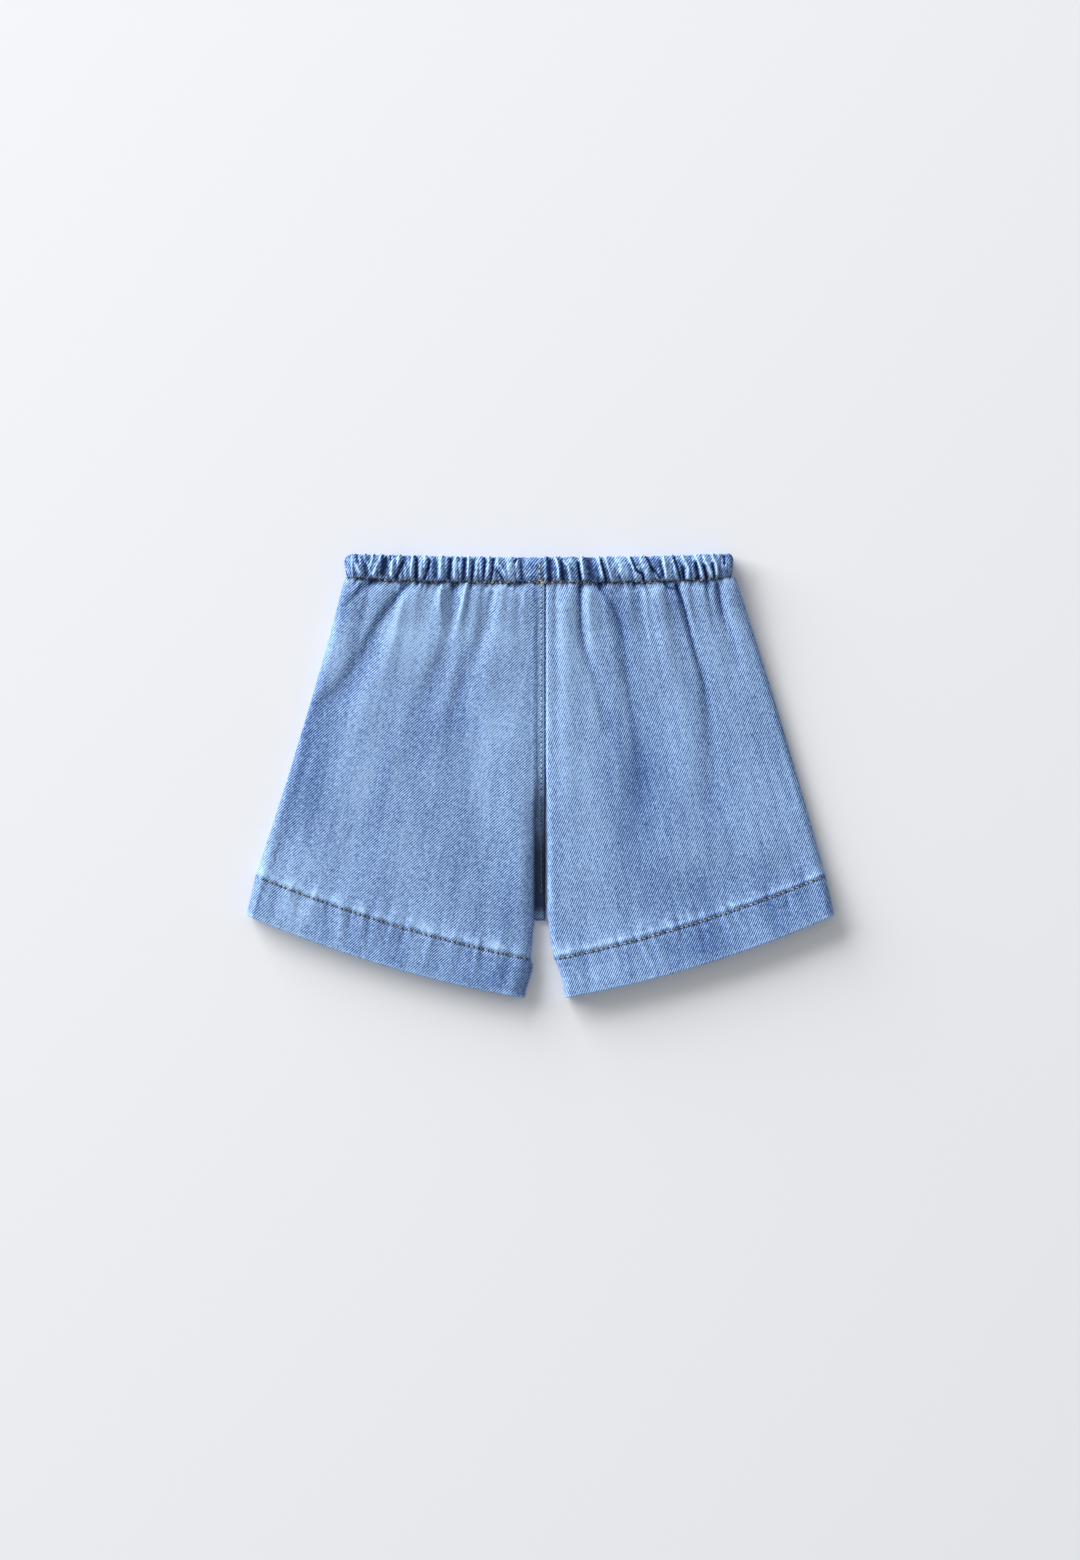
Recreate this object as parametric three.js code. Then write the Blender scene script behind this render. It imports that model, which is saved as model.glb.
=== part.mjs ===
// Child's pull-on denim shorts, laid flat on a table with the front up.
// Millimetres. X runs across, Y towards the waistband, Z up. The origin is on the table, under the middle.
// "left" is the -X side as it lies. The front lies on the back, and both are walls of cloth.

import * as THREE from 'three';

// Waistband: a gathered casing with elastic, a flattened ring of cloth
const waistHalf = 121.3;          // from the middle to the fold at the side
const casingTopAtSide = 137.9;    // Y of the casing's upper edge at the side folds
const casingTopDip = 2.4;         // how far that edge sinks at the middle
const waistSeamAtSide = 122.8;    // Y of the stitch line under the casing
const waistSeamDip = 2.8;
const layerPlane = 5.9;           // height where the front casing meets the back one
const casingLine = 2.75;          // from that plane to the middle of one casing layer
const casingHalfThick = 2.45;
const pleatStart = 1.0;           // a pleat's trough lies this far before its crease line

// Leg panels
const cloth = 1.2;                // wall of one layer
const seamGap = 0.3;              // left between pieces that are sewn together
const hemGap = 0.45;              // left between a panel and its hem, shared by the two
const seamX = 2.8;                // centre seams, front and back
const crotchY = -88;
const hemOuter = [177.0, -62.0];  // outer end of the hem's stitch line
const hemCorner = [182.5, -86.4]; // outer corner of the hem's fold
const hemInnerY = -114.0;         // inner end of the hem's stitch line
const hemTipY = -137.7;
const hemSag = [4.4, 5.6];        // belly of the stitch line and of the fold
const hemShare = 0.13;            // the hem's width as a share of the panel above it
const sideBow = { left: -1.8, right: 1.2 };   // how far the sides bend outwards
const sideRoll = 5.0;             // width of the rounded side edge
const innerRoll = 4.5;
const sideSeamZ = 3.0;            // height of the side seam above the table
const casingFade = 0.15;          // share of the panel over which its side comes down from the casing
const valleyZ = 2.8;              // top of the cloth in the valley between the legs
const hemCloth = 2.2;             // the hem is turned up, so it is thicker
const hemFoldShare = 0.3;         // how far each face turns in at the hem's fold

// Height of the front's upper face, down the panel: v is 0 at the waist seam and 1 at the hem's stitches.
const frontHeight = [
  { v: 0.00, z: 8.7 },
  { v: 0.04, z: 9.2 },
  { v: 0.15, z: 7.6 },
  { v: 0.35, z: 6.2 },
  { v: 0.65, z: 6.0 },
  { v: 0.90, z: 6.8 },
  { v: 1.00, z: 7.7 },
  { v: 1.13, z: 9.2 },
];

// The back's lower face leaves the table only next to its casing.
const backHeight = [
  { v: 0.00, z: 2.6 },
  { v: 0.05, z: 1.7 },
  { v: 0.15, z: 0.0 },
  { v: 1.13, z: 0.0 },
];

// Inner outline of each leg as it lies, from the waist seam down to the hem's tip.
const innerEdge = {
  left: [
    { y: 122, x: -2.2 },
    { y: 0, x: -2.2 },
    { y: -34, x: -4.0 },
    { y: -93, x: -4.1 },
    { y: -113, x: -5.9 },
    { y: -138, x: -10.6 },
  ],
  right: [
    { y: 122, x: 3.1 },
    { y: 0, x: 3.1 },
    { y: -34, x: 3.5 },
    { y: -83, x: 3.8 },
    { y: -100, x: 6.3 },
    { y: -138, x: 14.8 },
  ],
};

// Height of the front centre seam: it sinks into the valley between the legs.
const seamHeight = [
  { y: 122, drop: 0.4, toFloor: 0 },
  { y: 40, drop: 0.7, toFloor: 0 },
  { y: 5, drop: 1.0, toFloor: 0.12 },
  { y: -25, drop: 1.0, toFloor: 0.75 },
  { y: -50, drop: 1.0, toFloor: 1 },
  { y: -140, drop: 1.0, toFloor: 1 },
];

// Casing pleats of the front, left to right: crease at the upper edge, at the stitch line, and the height.
const frontPleats = [
  { top: -116.3, foot: -112.5, rise: 1.5 },
  { top: -108.8, foot: -106.8, rise: 1.9 },
  { top: -104.2, foot: -103.0, rise: 1.2 },
  { top: -99.1, foot: -99.9, rise: 2.1 },
  { top: -93.9, foot: -92.4, rise: 1.7 },
  { top: -88.4, foot: -89.3, rise: 2.2 },
  { top: -84.4, foot: -84.3, rise: 1.3 },
  { top: -79.0, foot: -79.7, rise: 2.2 },
  { top: -75.3, foot: -75.3, rise: 1.5 },
  { top: -71.0, foot: -71.6, rise: 2.1 },
  { top: -67.6, foot: -67.9, rise: 1.6 },
  { top: -63.6, foot: -62.6, rise: 2.0 },
  { top: -58.0, foot: -58.8, rise: 2.3 },
  { top: -54.0, foot: -53.6, rise: 1.7 },
  { top: -49.5, foot: -49.7, rise: 2.2 },
  { top: -44.9, foot: -45.3, rise: 1.5 },
  { top: -41.2, foot: -41.9, rise: 1.9 },
  { top: -36.9, foot: -37.1, rise: 1.8 },
  { top: -31.5, foot: -31.9, rise: 1.6 },
  { top: -26.6, foot: -25.1, rise: 1.2 },
  { top: -21.6, foot: -18.8, rise: 1.7 },
  { top: -15.2, foot: -14.2, rise: 2.1 },
  { top: -9.0, foot: -8.6, rise: 1.1 },
  { top: 3.0, foot: 3.1, rise: 1.9 },
  { top: 9.6, foot: 10.9, rise: 2.0 },
  { top: 14.9, foot: 17.9, rise: 1.5 },
  { top: 25.1, foot: 25.7, rise: 2.1 },
  { top: 30.0, foot: 31.6, rise: 1.3 },
  { top: 35.0, foot: 37.3, rise: 2.1 },
  { top: 40.9, foot: 43.8, rise: 1.4 },
  { top: 48.0, foot: 50.6, rise: 1.2 },
  { top: 55.5, foot: 58.7, rise: 2.2 },
  { top: 61.7, foot: 64.8, rise: 1.7 },
  { top: 68.3, foot: 72.6, rise: 2.3 },
  { top: 75.2, foot: 77.9, rise: 1.8 },
  { top: 81.5, foot: 84.3, rise: 2.3 },
  { top: 86.7, foot: 90.3, rise: 1.6 },
  { top: 92.0, foot: 94.5, rise: 1.7 },
  { top: 96.6, foot: 99.6, rise: 2.2 },
  { top: 100.9, foot: 103.6, rise: 1.8 },
  { top: 106.0, foot: 108.9, rise: 2.2 },
  { top: 111.2, foot: 112.5, rise: 1.4 },
];
// One pleat from its crease to the next: at is a share of the way, lift a share of the pleat's rise.
const pleatProfile = [
  { at: 0.00, lift: 0.00 },
  { at: 0.13, lift: 0.66 },
  { at: 0.30, lift: 1.00 },
  { at: 0.65, lift: 0.75 },
];
const sideSteps = 4;              // steps in which the casing turns round its side
const sideRipple = [0.2, 0.9];    // lift of those steps, by turns
const crestOverEdge = 0.35;       // share of a crest's height by which it also stands over the upper edge

// The back casing's pleats are pressed flat against the table, so they are even and low.
const backPleat = { count: 38, from: -112, to: 110, sway: 1.3, lean: 0.8, rise: 1.2, uneven: 0.4 };

// Folds of the front panels: each runs down its path; height is above the panel, and a trough is negative.
const frontFolds = [
  { path: [[-108, 117], [-115, 111], [-123, 104]], width: [2.5, 4], height: [-1.1, -0.5] },
  { path: [[-83, 118], [-98, 99], [-106, 84], [-114, 68], [-127, 52], [-146, 30], [-162, -38]],
    width: [3.5, 13], height: [-1.9, -0.9] },
  { path: [[-79, 117], [-85, 98], [-93, 75], [-104, 52], [-113, 20], [-121, -15]],
    width: [4, 13], height: [1.3, 0.8] },
  { path: [[-54, 116], [-54, 106], [-55, 93], [-58, 76], [-67, 58], [-75, 33], [-84, -9]],
    width: [4.5, 12], height: [-1.7, -0.6] },
  { path: [[-46, 119], [-48, 106], [-52, 93], [-57, 76]], width: [2.2, 4], height: [1.2, 0.5] },
  { path: [[-61, 117], [-62, 106], [-60, 84]], width: [2.4, 5], height: [1.0, 0.4] },
  { path: [[-30, 108], [-34, 92], [-45, 66], [-53, 35]], width: [3.5, 10], height: [-1.1, -0.6] },
  { path: [[-23, 115], [-22, 96], [-19, 71], [-18, 10]], width: [4.5, 10], height: [1.1, 0.5] },
  { path: [[-75, 47], [-87, -15], [-96, -64]], width: [11, 14], height: [0.7, 0.7] },
  { path: [[-44, 28], [-40, -14], [-37, -52]], width: [10, 14], height: [-0.5, -0.6] },
  { path: [[-17, -9], [-13, -48], [-13, -77]], width: [6, 8], height: [0.4, 0.6] },
  { path: [[24, 116], [25, 92], [29, 73], [36, 55], [41, 28]], width: [1.9, 8], height: [-1.6, -0.6] },
  { path: [[36, 119], [43, 108], [50, 92], [54, 63], [60, 34], [62, -15]],
    width: [3, 11], height: [-1.6, -0.7] },
  { path: [[31, 112], [37, 78], [44, 47]], width: [4, 8], height: [0.7, 0.5] },
  { path: [[71, 112], [79, 78], [89, 42], [93, -2]], width: [7, 14], height: [1.1, 0.9] },
  { path: [[84, 118], [90, 97], [96, 76], [101, 58], [103, 42], [106, 10]],
    width: [1.6, 8], height: [-2.2, -0.7] },
  { path: [[102, 119], [105, 108], [109, 90]], width: [1.7, 3], height: [-1.3, -0.4] },
  { path: [[109, 118], [112, 104], [116, 89], [121, 69]], width: [1.7, 5], height: [-1.2, -0.5] },
  { path: [[117, 109], [126, 78], [130, 53]], width: [3, 6], height: [0.6, 0.6] },
  { path: [[14, 100], [16, 42], [16, -15], [17, -60]], width: [6, 9], height: [0.9, 0.6] },
  { path: [[60, 9], [60, -25], [58, -56]], width: [10, 12], height: [-0.7, -0.6] },
  { path: [[86, 9], [88, -18], [90, -43]], width: [10, 12], height: [0.6, 0.6] },
  { path: [[104, -10], [108, -35], [112, -54]], width: [8, 10], height: [-0.6, -0.5] },
  { path: [[122, 0], [130, -25], [138, -50]], width: [10, 12], height: [0.5, 0.5] },
];
const puckerLength = [5, 11];     // short gathers that run on from the pleats into the panels
const puckerWidth = 1.7;
const puckerHeight = -0.75;
const puckerFan = 0.03;           // how far a gather leans outwards for each millimetre from the middle

// Grid of the panels: steps between the rounded edges, and steps in each rounded edge
const acrossSteps = { front: 34, back: 12 };
const rollSteps = 3;

const denim = { blue: 0x7396cc, pale: 0x83a4d6, deep: 0x4f6fa6, inside: 0xa9b9d4 };

const mix = (a, b, t) => a + (b - a) * t;
const clamp01 = (t) => Math.min(1, Math.max(0, t));
const smooth = (t) => clamp01(t) ** 2 * (3 - 2 * clamp01(t));

// Reads one column of a table, smoothly between its rows.
function readTable(rows, key, at, column) {
  const down = rows[rows.length - 1][key] < rows[0][key];
  let i = 0;
  while (i < rows.length - 2 && (down ? at < rows[i + 1][key] : at > rows[i + 1][key])) i += 1;
  const t = (at - rows[i][key]) / (rows[i + 1][key] - rows[i][key]);
  return mix(rows[i][column], rows[i + 1][column], smooth(t));
}

// A curve through a fold's points, as short straight pieces with their share of the length.
function tracePath(points) {
  const flat = points.map(([x, y]) => new THREE.Vector3(x, y, 0));
  return new THREE.CatmullRomCurve3(flat, false, 'centripetal').getPoints(4 * (points.length - 1));
}

const traced = frontFolds.map((fold) => ({ ...fold, line: tracePath(fold.path) }));

// Height that one fold adds at a place, fading with the distance from its line.
function foldAt(fold, x, y) {
  let best = Infinity;
  let along = 0;
  const last = fold.line.length - 1;
  for (let i = 0; i < last; i += 1) {
    const a = fold.line[i];
    const b = fold.line[i + 1];
    const dx = b.x - a.x;
    const dy = b.y - a.y;
    const t = clamp01(((x - a.x) * dx + (y - a.y) * dy) / (dx * dx + dy * dy));
    const far = Math.hypot(x - a.x - t * dx, y - a.y - t * dy);
    if (far < best) {
      best = far;
      along = (i + t) / last;
    }
  }
  const width = mix(fold.width[0], fold.width[1], along);
  return mix(fold.height[0], fold.height[1], along) * Math.exp(-((best / width) ** 2));
}

const waistSeamY = (x) => waistSeamAtSide - waistSeamDip * (1 - Math.min(1, Math.abs(x) / waistHalf) ** 3);
const casingTopY = (x) => casingTopAtSide - casingTopDip * (1 - Math.min(1, Math.abs(x) / waistHalf) ** 2);

// Short gathers under the stitch line, one below each pleat's foot
const puckers = frontPleats.map((pleat, i) => {
  const long = puckerLength[i % 2] + (i % 3);
  const x = pleat.foot - pleatStart;
  const drift = x * puckerFan;
  const y = waistSeamY(x);
  const line = tracePath([[x, y], [x + drift, y - long]]);
  return { line, width: [puckerWidth, 2 * puckerWidth], height: [puckerHeight, 0] };
});

const foldsAt = (x, y) => [...traced, ...puckers].reduce((sum, fold) => sum + foldAt(fold, x, y), 0);

// A panel's row from its outer side to its inner outline: v is 0 at the waist seam and past 1 in the hem.
function panelRow(side, v) {
  const sign = side === 'left' ? -1 : 1;
  const inHem = Math.max(0, (v - 1) / hemShare);
  const t = Math.min(1, v);
  const bow = sideBow[side] * 4 * t * (1 - t);
  const outer = [
    sign * (mix(waistHalf, hemOuter[0], t) + bow + (hemCorner[0] - hemOuter[0]) * inHem),
    mix(waistSeamAtSide, hemOuter[1], t) + (hemCorner[1] - hemOuter[1]) * inHem,
  ];
  const innerY = mix(waistSeamAtSide - waistSeamDip, hemInnerY, t) + (hemTipY - hemInnerY) * inHem;
  const inner = [readTable(innerEdge[side], 'y', innerY, 'x'), innerY];
  const sag = v < 1 ? hemSag[0] * t : mix(hemSag[0], hemSag[1], inHem);
  return { outer, inner, sag, long: Math.abs(outer[0] - inner[0]) };
}

// How far the waist seam lies off the straight line between the top row's ends.
function waistBelly(side, share) {
  const { outer, inner } = panelRow(side, 0);
  return waistSeamY(mix(outer[0], inner[0], share)) - mix(outer[1], inner[1], share);
}

const waistSeamAtMiddle = waistSeamAtSide - waistSeamDip;
const vAtCrotch = (waistSeamAtMiddle - crotchY) / (waistSeamAtMiddle - hemInnerY);

// Shares of a row, dense in the rounded edges. side and inner are 0 on their own edge and 1 on top.
function rowShares(long, across) {
  const steps = [];
  for (let i = 0; i <= rollSteps; i += 1) {
    const turn = (i / rollSteps) * Math.PI / 2;
    steps.push({ share: (sideRoll * (1 - Math.cos(turn))) / long, side: Math.sin(turn), inner: 1 });
  }
  const from = sideRoll / long;
  const to = 1 - innerRoll / long;
  for (let i = 1; i < across; i += 1) steps.push({ share: mix(from, to, i / across), side: 1, inner: 1 });
  for (let i = 0; i <= rollSteps; i += 1) {
    const turn = (i / rollSteps) * Math.PI / 2;
    const inner = i < rollSteps ? Math.cos(turn) : 0;
    steps.push({ share: to + (innerRoll * Math.sin(turn)) / long, side: 1, inner });
  }
  return steps;
}

// Height of the front's edge along its inner outline: the centre seam, the valley, then the leg's own edge.
function innerEdgeZ(y, top) {
  if (y < crotchY) return sideSeamZ + seamGap / 2;
  const drop = readTable(seamHeight, 'y', y, 'drop');
  return mix(top - drop, valleyZ, readTable(seamHeight, 'y', y, 'toFloor'));
}

// One layer of a leg, as rows of points on its outer face and its inner one.
function layerRows(side, isFront, vs, wall) {
  const across = acrossSteps[isFront ? 'front' : 'back'];
  return vs.map((v) => {
    const row = panelRow(side, v);
    const top = readTable(isFront ? frontHeight : backHeight, 'v', v, 'z');
    const sideZ = mix(layerPlane, sideSeamZ, Math.min(1, v / casingFade));
    const shares = rowShares(row.long, across);
    const points = shares.map(({ share, side: sideTurn, inner: innerTurn }) => {
      const x = mix(row.outer[0], row.inner[0], share);
      const y = mix(row.outer[1], row.inner[1], share) - row.sag * 4 * share * (1 - share)
        + (1 - Math.min(1, v)) * waistBelly(side, share);
      const inside = Math.min(sideTurn, innerTurn);
      const thick = mix(cloth, wall, inside ** 2);
      const rim = sideTurn === 0 || (innerTurn === 0 && row.inner[1] < crotchY - seamGap);
      if (isFront) {
        const folds = foldsAt(x, y) * inside ** 4;
        const edge = innerTurn < 1 ? innerEdgeZ(row.inner[1], top) : top;
        const z = sideTurn < 1 ? mix(sideZ + seamGap / 2, top, sideTurn) : mix(edge, top, innerTurn);
        return { x, y, z, folds, rim, thick };
      }
      const edge = row.inner[1] < crotchY ? sideSeamZ - seamGap / 2 : top;
      const z = sideTurn < 1 ? mix(sideZ - seamGap / 2, top, sideTurn) : mix(edge, top, innerTurn);
      return { x, y, z, folds: 0, rim, thick };
    });
    // The left panels also cover the valley floor, from the leg's rounded edge to the centre seam.
    if (side === 'left') {
      const y = row.inner[1];
      for (const share of [0.5, 1]) {
        const x = mix(row.inner[0], seamX, share);
        points.push({ x, y, z: isFront ? innerEdgeZ(y, top) : top, folds: 0, thick: wall, floor: true });
      }
    }
    return points;
  });
}

// Moves each point in by the wall, square to the unfolded surface. Folds then ride on both faces.
function innerFace(rows, isFront, has) {
  return rows.map((row, i) => row.map((p, j) => {
    const at = (down, over) => {
      const q = has(i + down, j + over) ? rows[i + down][j + over] : p;
      return new THREE.Vector3(q.x, q.y, q.z);
    };
    const square = at(1, 0).sub(at(-1, 0)).cross(at(0, 1).sub(at(0, -1)));
    const inward = (isFront ? square.z > 0 : square.z < 0) ? -1 : 1;
    if (p.rim) square.z = 0;
    square.normalize().multiplyScalar(inward * p.thick);
    return [p.x + square.x, p.y + square.y, p.z + p.folds + square.z];
  }));
}

// A closed body between two faces of a grid, over the cells that are kept.
function shellBody(outer, inner, keep) {
  const rows = outer.length;
  const columns = outer[0].length;
  const index = new Map();
  const positions = [];
  const triangles = [];
  const vertex = (face, i, j) => {
    const key = `${face}:${i}:${j}`;
    if (!index.has(key)) {
      index.set(key, positions.length / 3);
      positions.push(...(face === 'outer' ? outer : inner)[i][j]);
    }
    return index.get(key);
  };
  const quad = (a, b, c, d) => triangles.push(a, b, c, a, c, d);
  for (let i = 0; i < rows - 1; i += 1) {
    for (let j = 0; j < columns - 1; j += 1) {
      if (!keep(i, j)) continue;
      const around = [[i, j], [i + 1, j], [i + 1, j + 1], [i, j + 1]];
      quad(...around.map((at) => vertex('outer', ...at)));
      quad(...around.reverse().map((at) => vertex('inner', ...at)));
      const sides = [
        [i - 1, j, [i, j + 1], [i, j]],
        [i + 1, j, [i + 1, j], [i + 1, j + 1]],
        [i, j - 1, [i, j], [i + 1, j]],
        [i, j + 1, [i + 1, j + 1], [i, j + 1]],
      ];
      for (const [ni, nj, a, b] of sides) {
        const inside = ni >= 0 && nj >= 0 && ni < rows - 1 && nj < columns - 1 && keep(ni, nj);
        if (inside) continue;
        quad(vertex('outer', ...b), vertex('outer', ...a), vertex('inner', ...a), vertex('inner', ...b));
      }
    }
  }
  return bodyFrom(positions, triangles);
}

// Makes the geometry, with its faces turned outwards.
function bodyFrom(positions, triangles) {
  let volume = 0;
  const p = (i) => new THREE.Vector3(...positions.slice(3 * i, 3 * i + 3));
  for (let i = 0; i < triangles.length; i += 3) {
    const [a, b, c] = [p(triangles[i]), p(triangles[i + 1]), p(triangles[i + 2])];
    volume += a.dot(b.cross(c));
  }
  const turned = [];
  for (let i = 0; i < triangles.length; i += 3) {
    const [a, b, c] = triangles.slice(i, i + 3);
    turned.push(...(volume > 0 ? [a, b, c] : [a, c, b]));
  }
  const geometry = new THREE.BufferGeometry();
  geometry.setAttribute('position', new THREE.Float32BufferAttribute(positions, 3));
  geometry.setIndex(turned);
  return geometry;
}

function piece(name, geometry, colour) {
  const material = new THREE.MeshStandardMaterial({ color: colour, roughness: 0.9, metalness: 0 });
  const mesh = new THREE.Mesh(geometry, material);
  mesh.name = name;
  return mesh;
}

// Rows of a leg panel, closer where the gathers are, with one row on the crotch
const frontRows = [0.0, 0.014, 0.03, 0.05, 0.08, 0.11, casingFade, 0.2, 0.27, 0.35, 0.44, 0.53, 0.62, 0.7,
  0.79, vAtCrotch, 0.93, 1.0];
const backRows = [0.0, 0.05, casingFade, 0.27, 0.44, 0.62, 0.79, vAtCrotch, 0.93, 1.0];
const hemRows = [0, 0.08, 0.38, 0.69, 0.94, 1].map((share) => 1 + hemShare * share);

function legPanel(side, isFront) {
  const vs = isFront ? frontRows : backRows;
  const rows = layerRows(side, isFront, vs, cloth);
  // The panel's top row stands clear of the casing, and its last one clear of the hem.
  rows[0].forEach((p) => { p.y -= seamGap; });
  rows[rows.length - 1].forEach((p) => { p.y += hemGap / 2; });
  const crotchRow = vs.indexOf(vAtCrotch);
  const floorStart = side === 'left' ? rows[0].findIndex((p) => p.floor) : rows[0].length;
  // The valley floor ends at the crotch, so the panel has no points there further down.
  const has = (i, j) => i >= 0 && j >= 0 && i < rows.length && j < rows[0].length
    && (j < floorStart || i <= crotchRow);
  const keep = (i, j) => j < floorStart - 1 || i < crotchRow;
  const outer = rows.map((row) => row.map((p) => [p.x, p.y, p.z + p.folds]));
  const inner = innerFace(rows, isFront, has);
  const name = `${isFront ? 'front' : 'back'}_panel_${side}`;
  return piece(name, shellBody(outer, inner, keep), isFront ? denim.blue : denim.deep);
}

// The turned-up hem: a thicker band that goes on from the panel to the fold.
function hemBand(side, isFront) {
  const rows = layerRows(side, isFront, hemRows, hemCloth).map((row) => row.filter((p) => !p.floor));
  rows[0].forEach((p) => { p.y -= hemGap / 2; });
  const last = rows.length - 1;
  const outer = rows.map((row) => row.map((p) => [p.x, p.y, p.z + p.folds]));
  const has = (i, j) => i >= 0 && j >= 0 && i < rows.length && j < rows[0].length;
  const inner = innerFace(rows, isFront, has);
  // Both faces turn in at the fold.
  outer[last] = outer[last].map((p, j) => p.map((c, k) => mix(c, inner[last][j][k], hemFoldShare)));
  inner[last] = inner[last].map((p, j) => p.map((c, k) => mix(c, outer[last][j][k], hemFoldShare)));
  return piece(`${isFront ? 'front' : 'back'}_hem_${side}`, shellBody(outer, inner, () => true), denim.pale);
}

const casingEnd = waistHalf - casingLine - casingHalfThick;   // where the ring starts to turn

// Columns of the casing, pleat by pleat and then round each side: x at the upper edge and at the foot
function casingColumns(pleats) {
  const creases = pleats.map((p) => ({ top: p.top - pleatStart, foot: p.foot - pleatStart, rise: p.rise }));
  const columns = [];
  creases.forEach((crease, i) => {
    const next = creases[i + 1] ?? { top: casingEnd, foot: casingEnd };
    for (const { at, lift } of pleatProfile) {
      const top = mix(crease.top, next.top, at);
      const foot = mix(crease.foot, next.foot, at);
      columns.push({ top, foot, lift: lift * crease.rise });
    }
  });
  const turn = (sign) => Array.from({ length: sideSteps + 1 }, (_, k) => {
    const around = (k / sideSteps) * Math.PI / 2;
    return { top: sign * casingEnd, foot: sign * casingEnd, lift: sideRipple[k % 2], around, sign };
  });
  return [...turn(-1).reverse(), ...columns, ...turn(1)];
}

// Section of one casing layer, from the stitch line over the outer face and the rolled edge, and back inside.
// along is 0 at the stitches and 1 at the upper edge; out is a share of the half thickness, pleat of the rise.
const casingSection = [
  { along: 0.00, out: -0.22, pleat: 0 },
  { along: 0.00, out: 0.30, pleat: 0.15 },
  { along: 0.14, out: 0.80, pleat: 0.75 },
  { along: 0.50, out: 1.00, pleat: 1 },
  { along: 0.84, out: 0.78, pleat: 0.9 },
  { along: 1.00, out: 0.05, pleat: 0.35 },
  { along: 0.86, out: -0.75, pleat: 0 },
  { along: 0.50, out: -1.00, pleat: 0 },
  { along: 0.14, out: -0.75, pleat: 0 },
];
const meanLift = 1.05;            // pleats rise and fall about the casing's even thickness
const casingNip = 0.45;           // the inner face draws in where the ring turns at the sides
const pressedOut = 1.3;           // the back's outer face is flatter and fuller, pressed on the table
const pressedRise = 0.45;
const pleatScale = { front: 1, back: 0.85 };

function casing(isFront, pleats) {
  const up = isFront ? 1 : -1;
  const scale = pleatScale[isFront ? 'front' : 'back'];
  const rings = casingColumns(pleats).map((column) => casingSection.map(({ along, out, pleat }) => {
    const turned = column.around ?? 0;
    const outward = isFront || out < 0 ? out : Math.min(1, out * pressedOut);
    const half = casingHalfThick - (out < 0 ? casingNip * Math.sin(turned) : 0);
    const rise = pleat * ((column.lift - meanLift) * scale + (isFront ? 0 : pressedRise));
    const far = casingLine + half * outward + rise;
    const z = Math.max(seamGap / 2, Math.min(layerPlane + (isFront ? far : 0), far * Math.cos(turned)));
    const flatX = mix(column.foot, column.top, along);
    const x = flatX + (column.sign ?? 0) * far * Math.sin(turned);
    const y = mix(waistSeamY(x), casingTopY(x), along) + (along === 1 ? crestOverEdge * rise : 0);
    return [x, y, layerPlane + up * z];
  }));
  return shellTube(rings);
}

// A closed tube through rings, with flat ends.
function shellTube(rings) {
  const count = rings[0].length;
  const positions = rings.flat(2);
  const triangles = [];
  for (let i = 0; i < rings.length - 1; i += 1) {
    for (let k = 0; k < count; k += 1) {
      const n = (k + 1) % count;
      const [a, b, c, d] = [i * count + k, i * count + n, (i + 1) * count + n, (i + 1) * count + k];
      triangles.push(a, b, c, a, c, d);
    }
  }
  const last = (rings.length - 1) * count;
  for (let k = 1; k < count - 1; k += 1) {
    triangles.push(0, k + 1, k);
    triangles.push(last, last + k, last + k + 1);
  }
  return bodyFrom(positions, triangles);
}

const backPleats = Array.from({ length: backPleat.count }, (_, i) => {
  const { count, from, to, sway, lean, rise, uneven } = backPleat;
  const foot = mix(from, to, i / (count - 1)) + sway * Math.sin(i * 2.1);
  return { top: foot + lean * Math.sin(i * 1.3), foot, rise: rise + uneven * Math.sin(i * 0.9) };
});

const shorts = new THREE.Group();
shorts.add(piece('waistband_front', casing(true, frontPleats), denim.blue));
shorts.add(piece('waistband_back', casing(false, backPleats), denim.deep));
for (const side of ['left', 'right']) {
  for (const isFront of [true, false]) {
    shorts.add(legPanel(side, isFront));
    shorts.add(hemBand(side, isFront));
  }
}

export default shorts;
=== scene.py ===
import math

import bmesh
import bpy
import numpy as np
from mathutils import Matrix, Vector


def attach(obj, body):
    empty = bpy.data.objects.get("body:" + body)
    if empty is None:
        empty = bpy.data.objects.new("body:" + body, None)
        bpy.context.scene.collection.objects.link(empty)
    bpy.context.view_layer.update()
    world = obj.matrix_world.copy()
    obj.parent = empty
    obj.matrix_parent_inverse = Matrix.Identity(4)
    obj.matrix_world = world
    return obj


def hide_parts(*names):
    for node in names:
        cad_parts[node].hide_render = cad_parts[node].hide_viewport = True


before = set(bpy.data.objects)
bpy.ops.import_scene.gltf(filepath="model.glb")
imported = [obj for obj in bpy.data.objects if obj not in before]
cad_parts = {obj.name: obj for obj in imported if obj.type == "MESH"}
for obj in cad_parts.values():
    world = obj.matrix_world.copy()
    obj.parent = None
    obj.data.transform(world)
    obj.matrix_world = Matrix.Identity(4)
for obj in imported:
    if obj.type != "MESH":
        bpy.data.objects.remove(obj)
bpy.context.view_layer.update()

# Denim shorts for a child, lying flat with the front up. Lengths are millimetres until a mesh is made.
# "left" is the -X side as they lie.


def makeTable(columns, rows):
    # rows written under their columns' names, as one dictionary a row
    return [dict(zip(columns.split(), row)) for row in rows]


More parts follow.
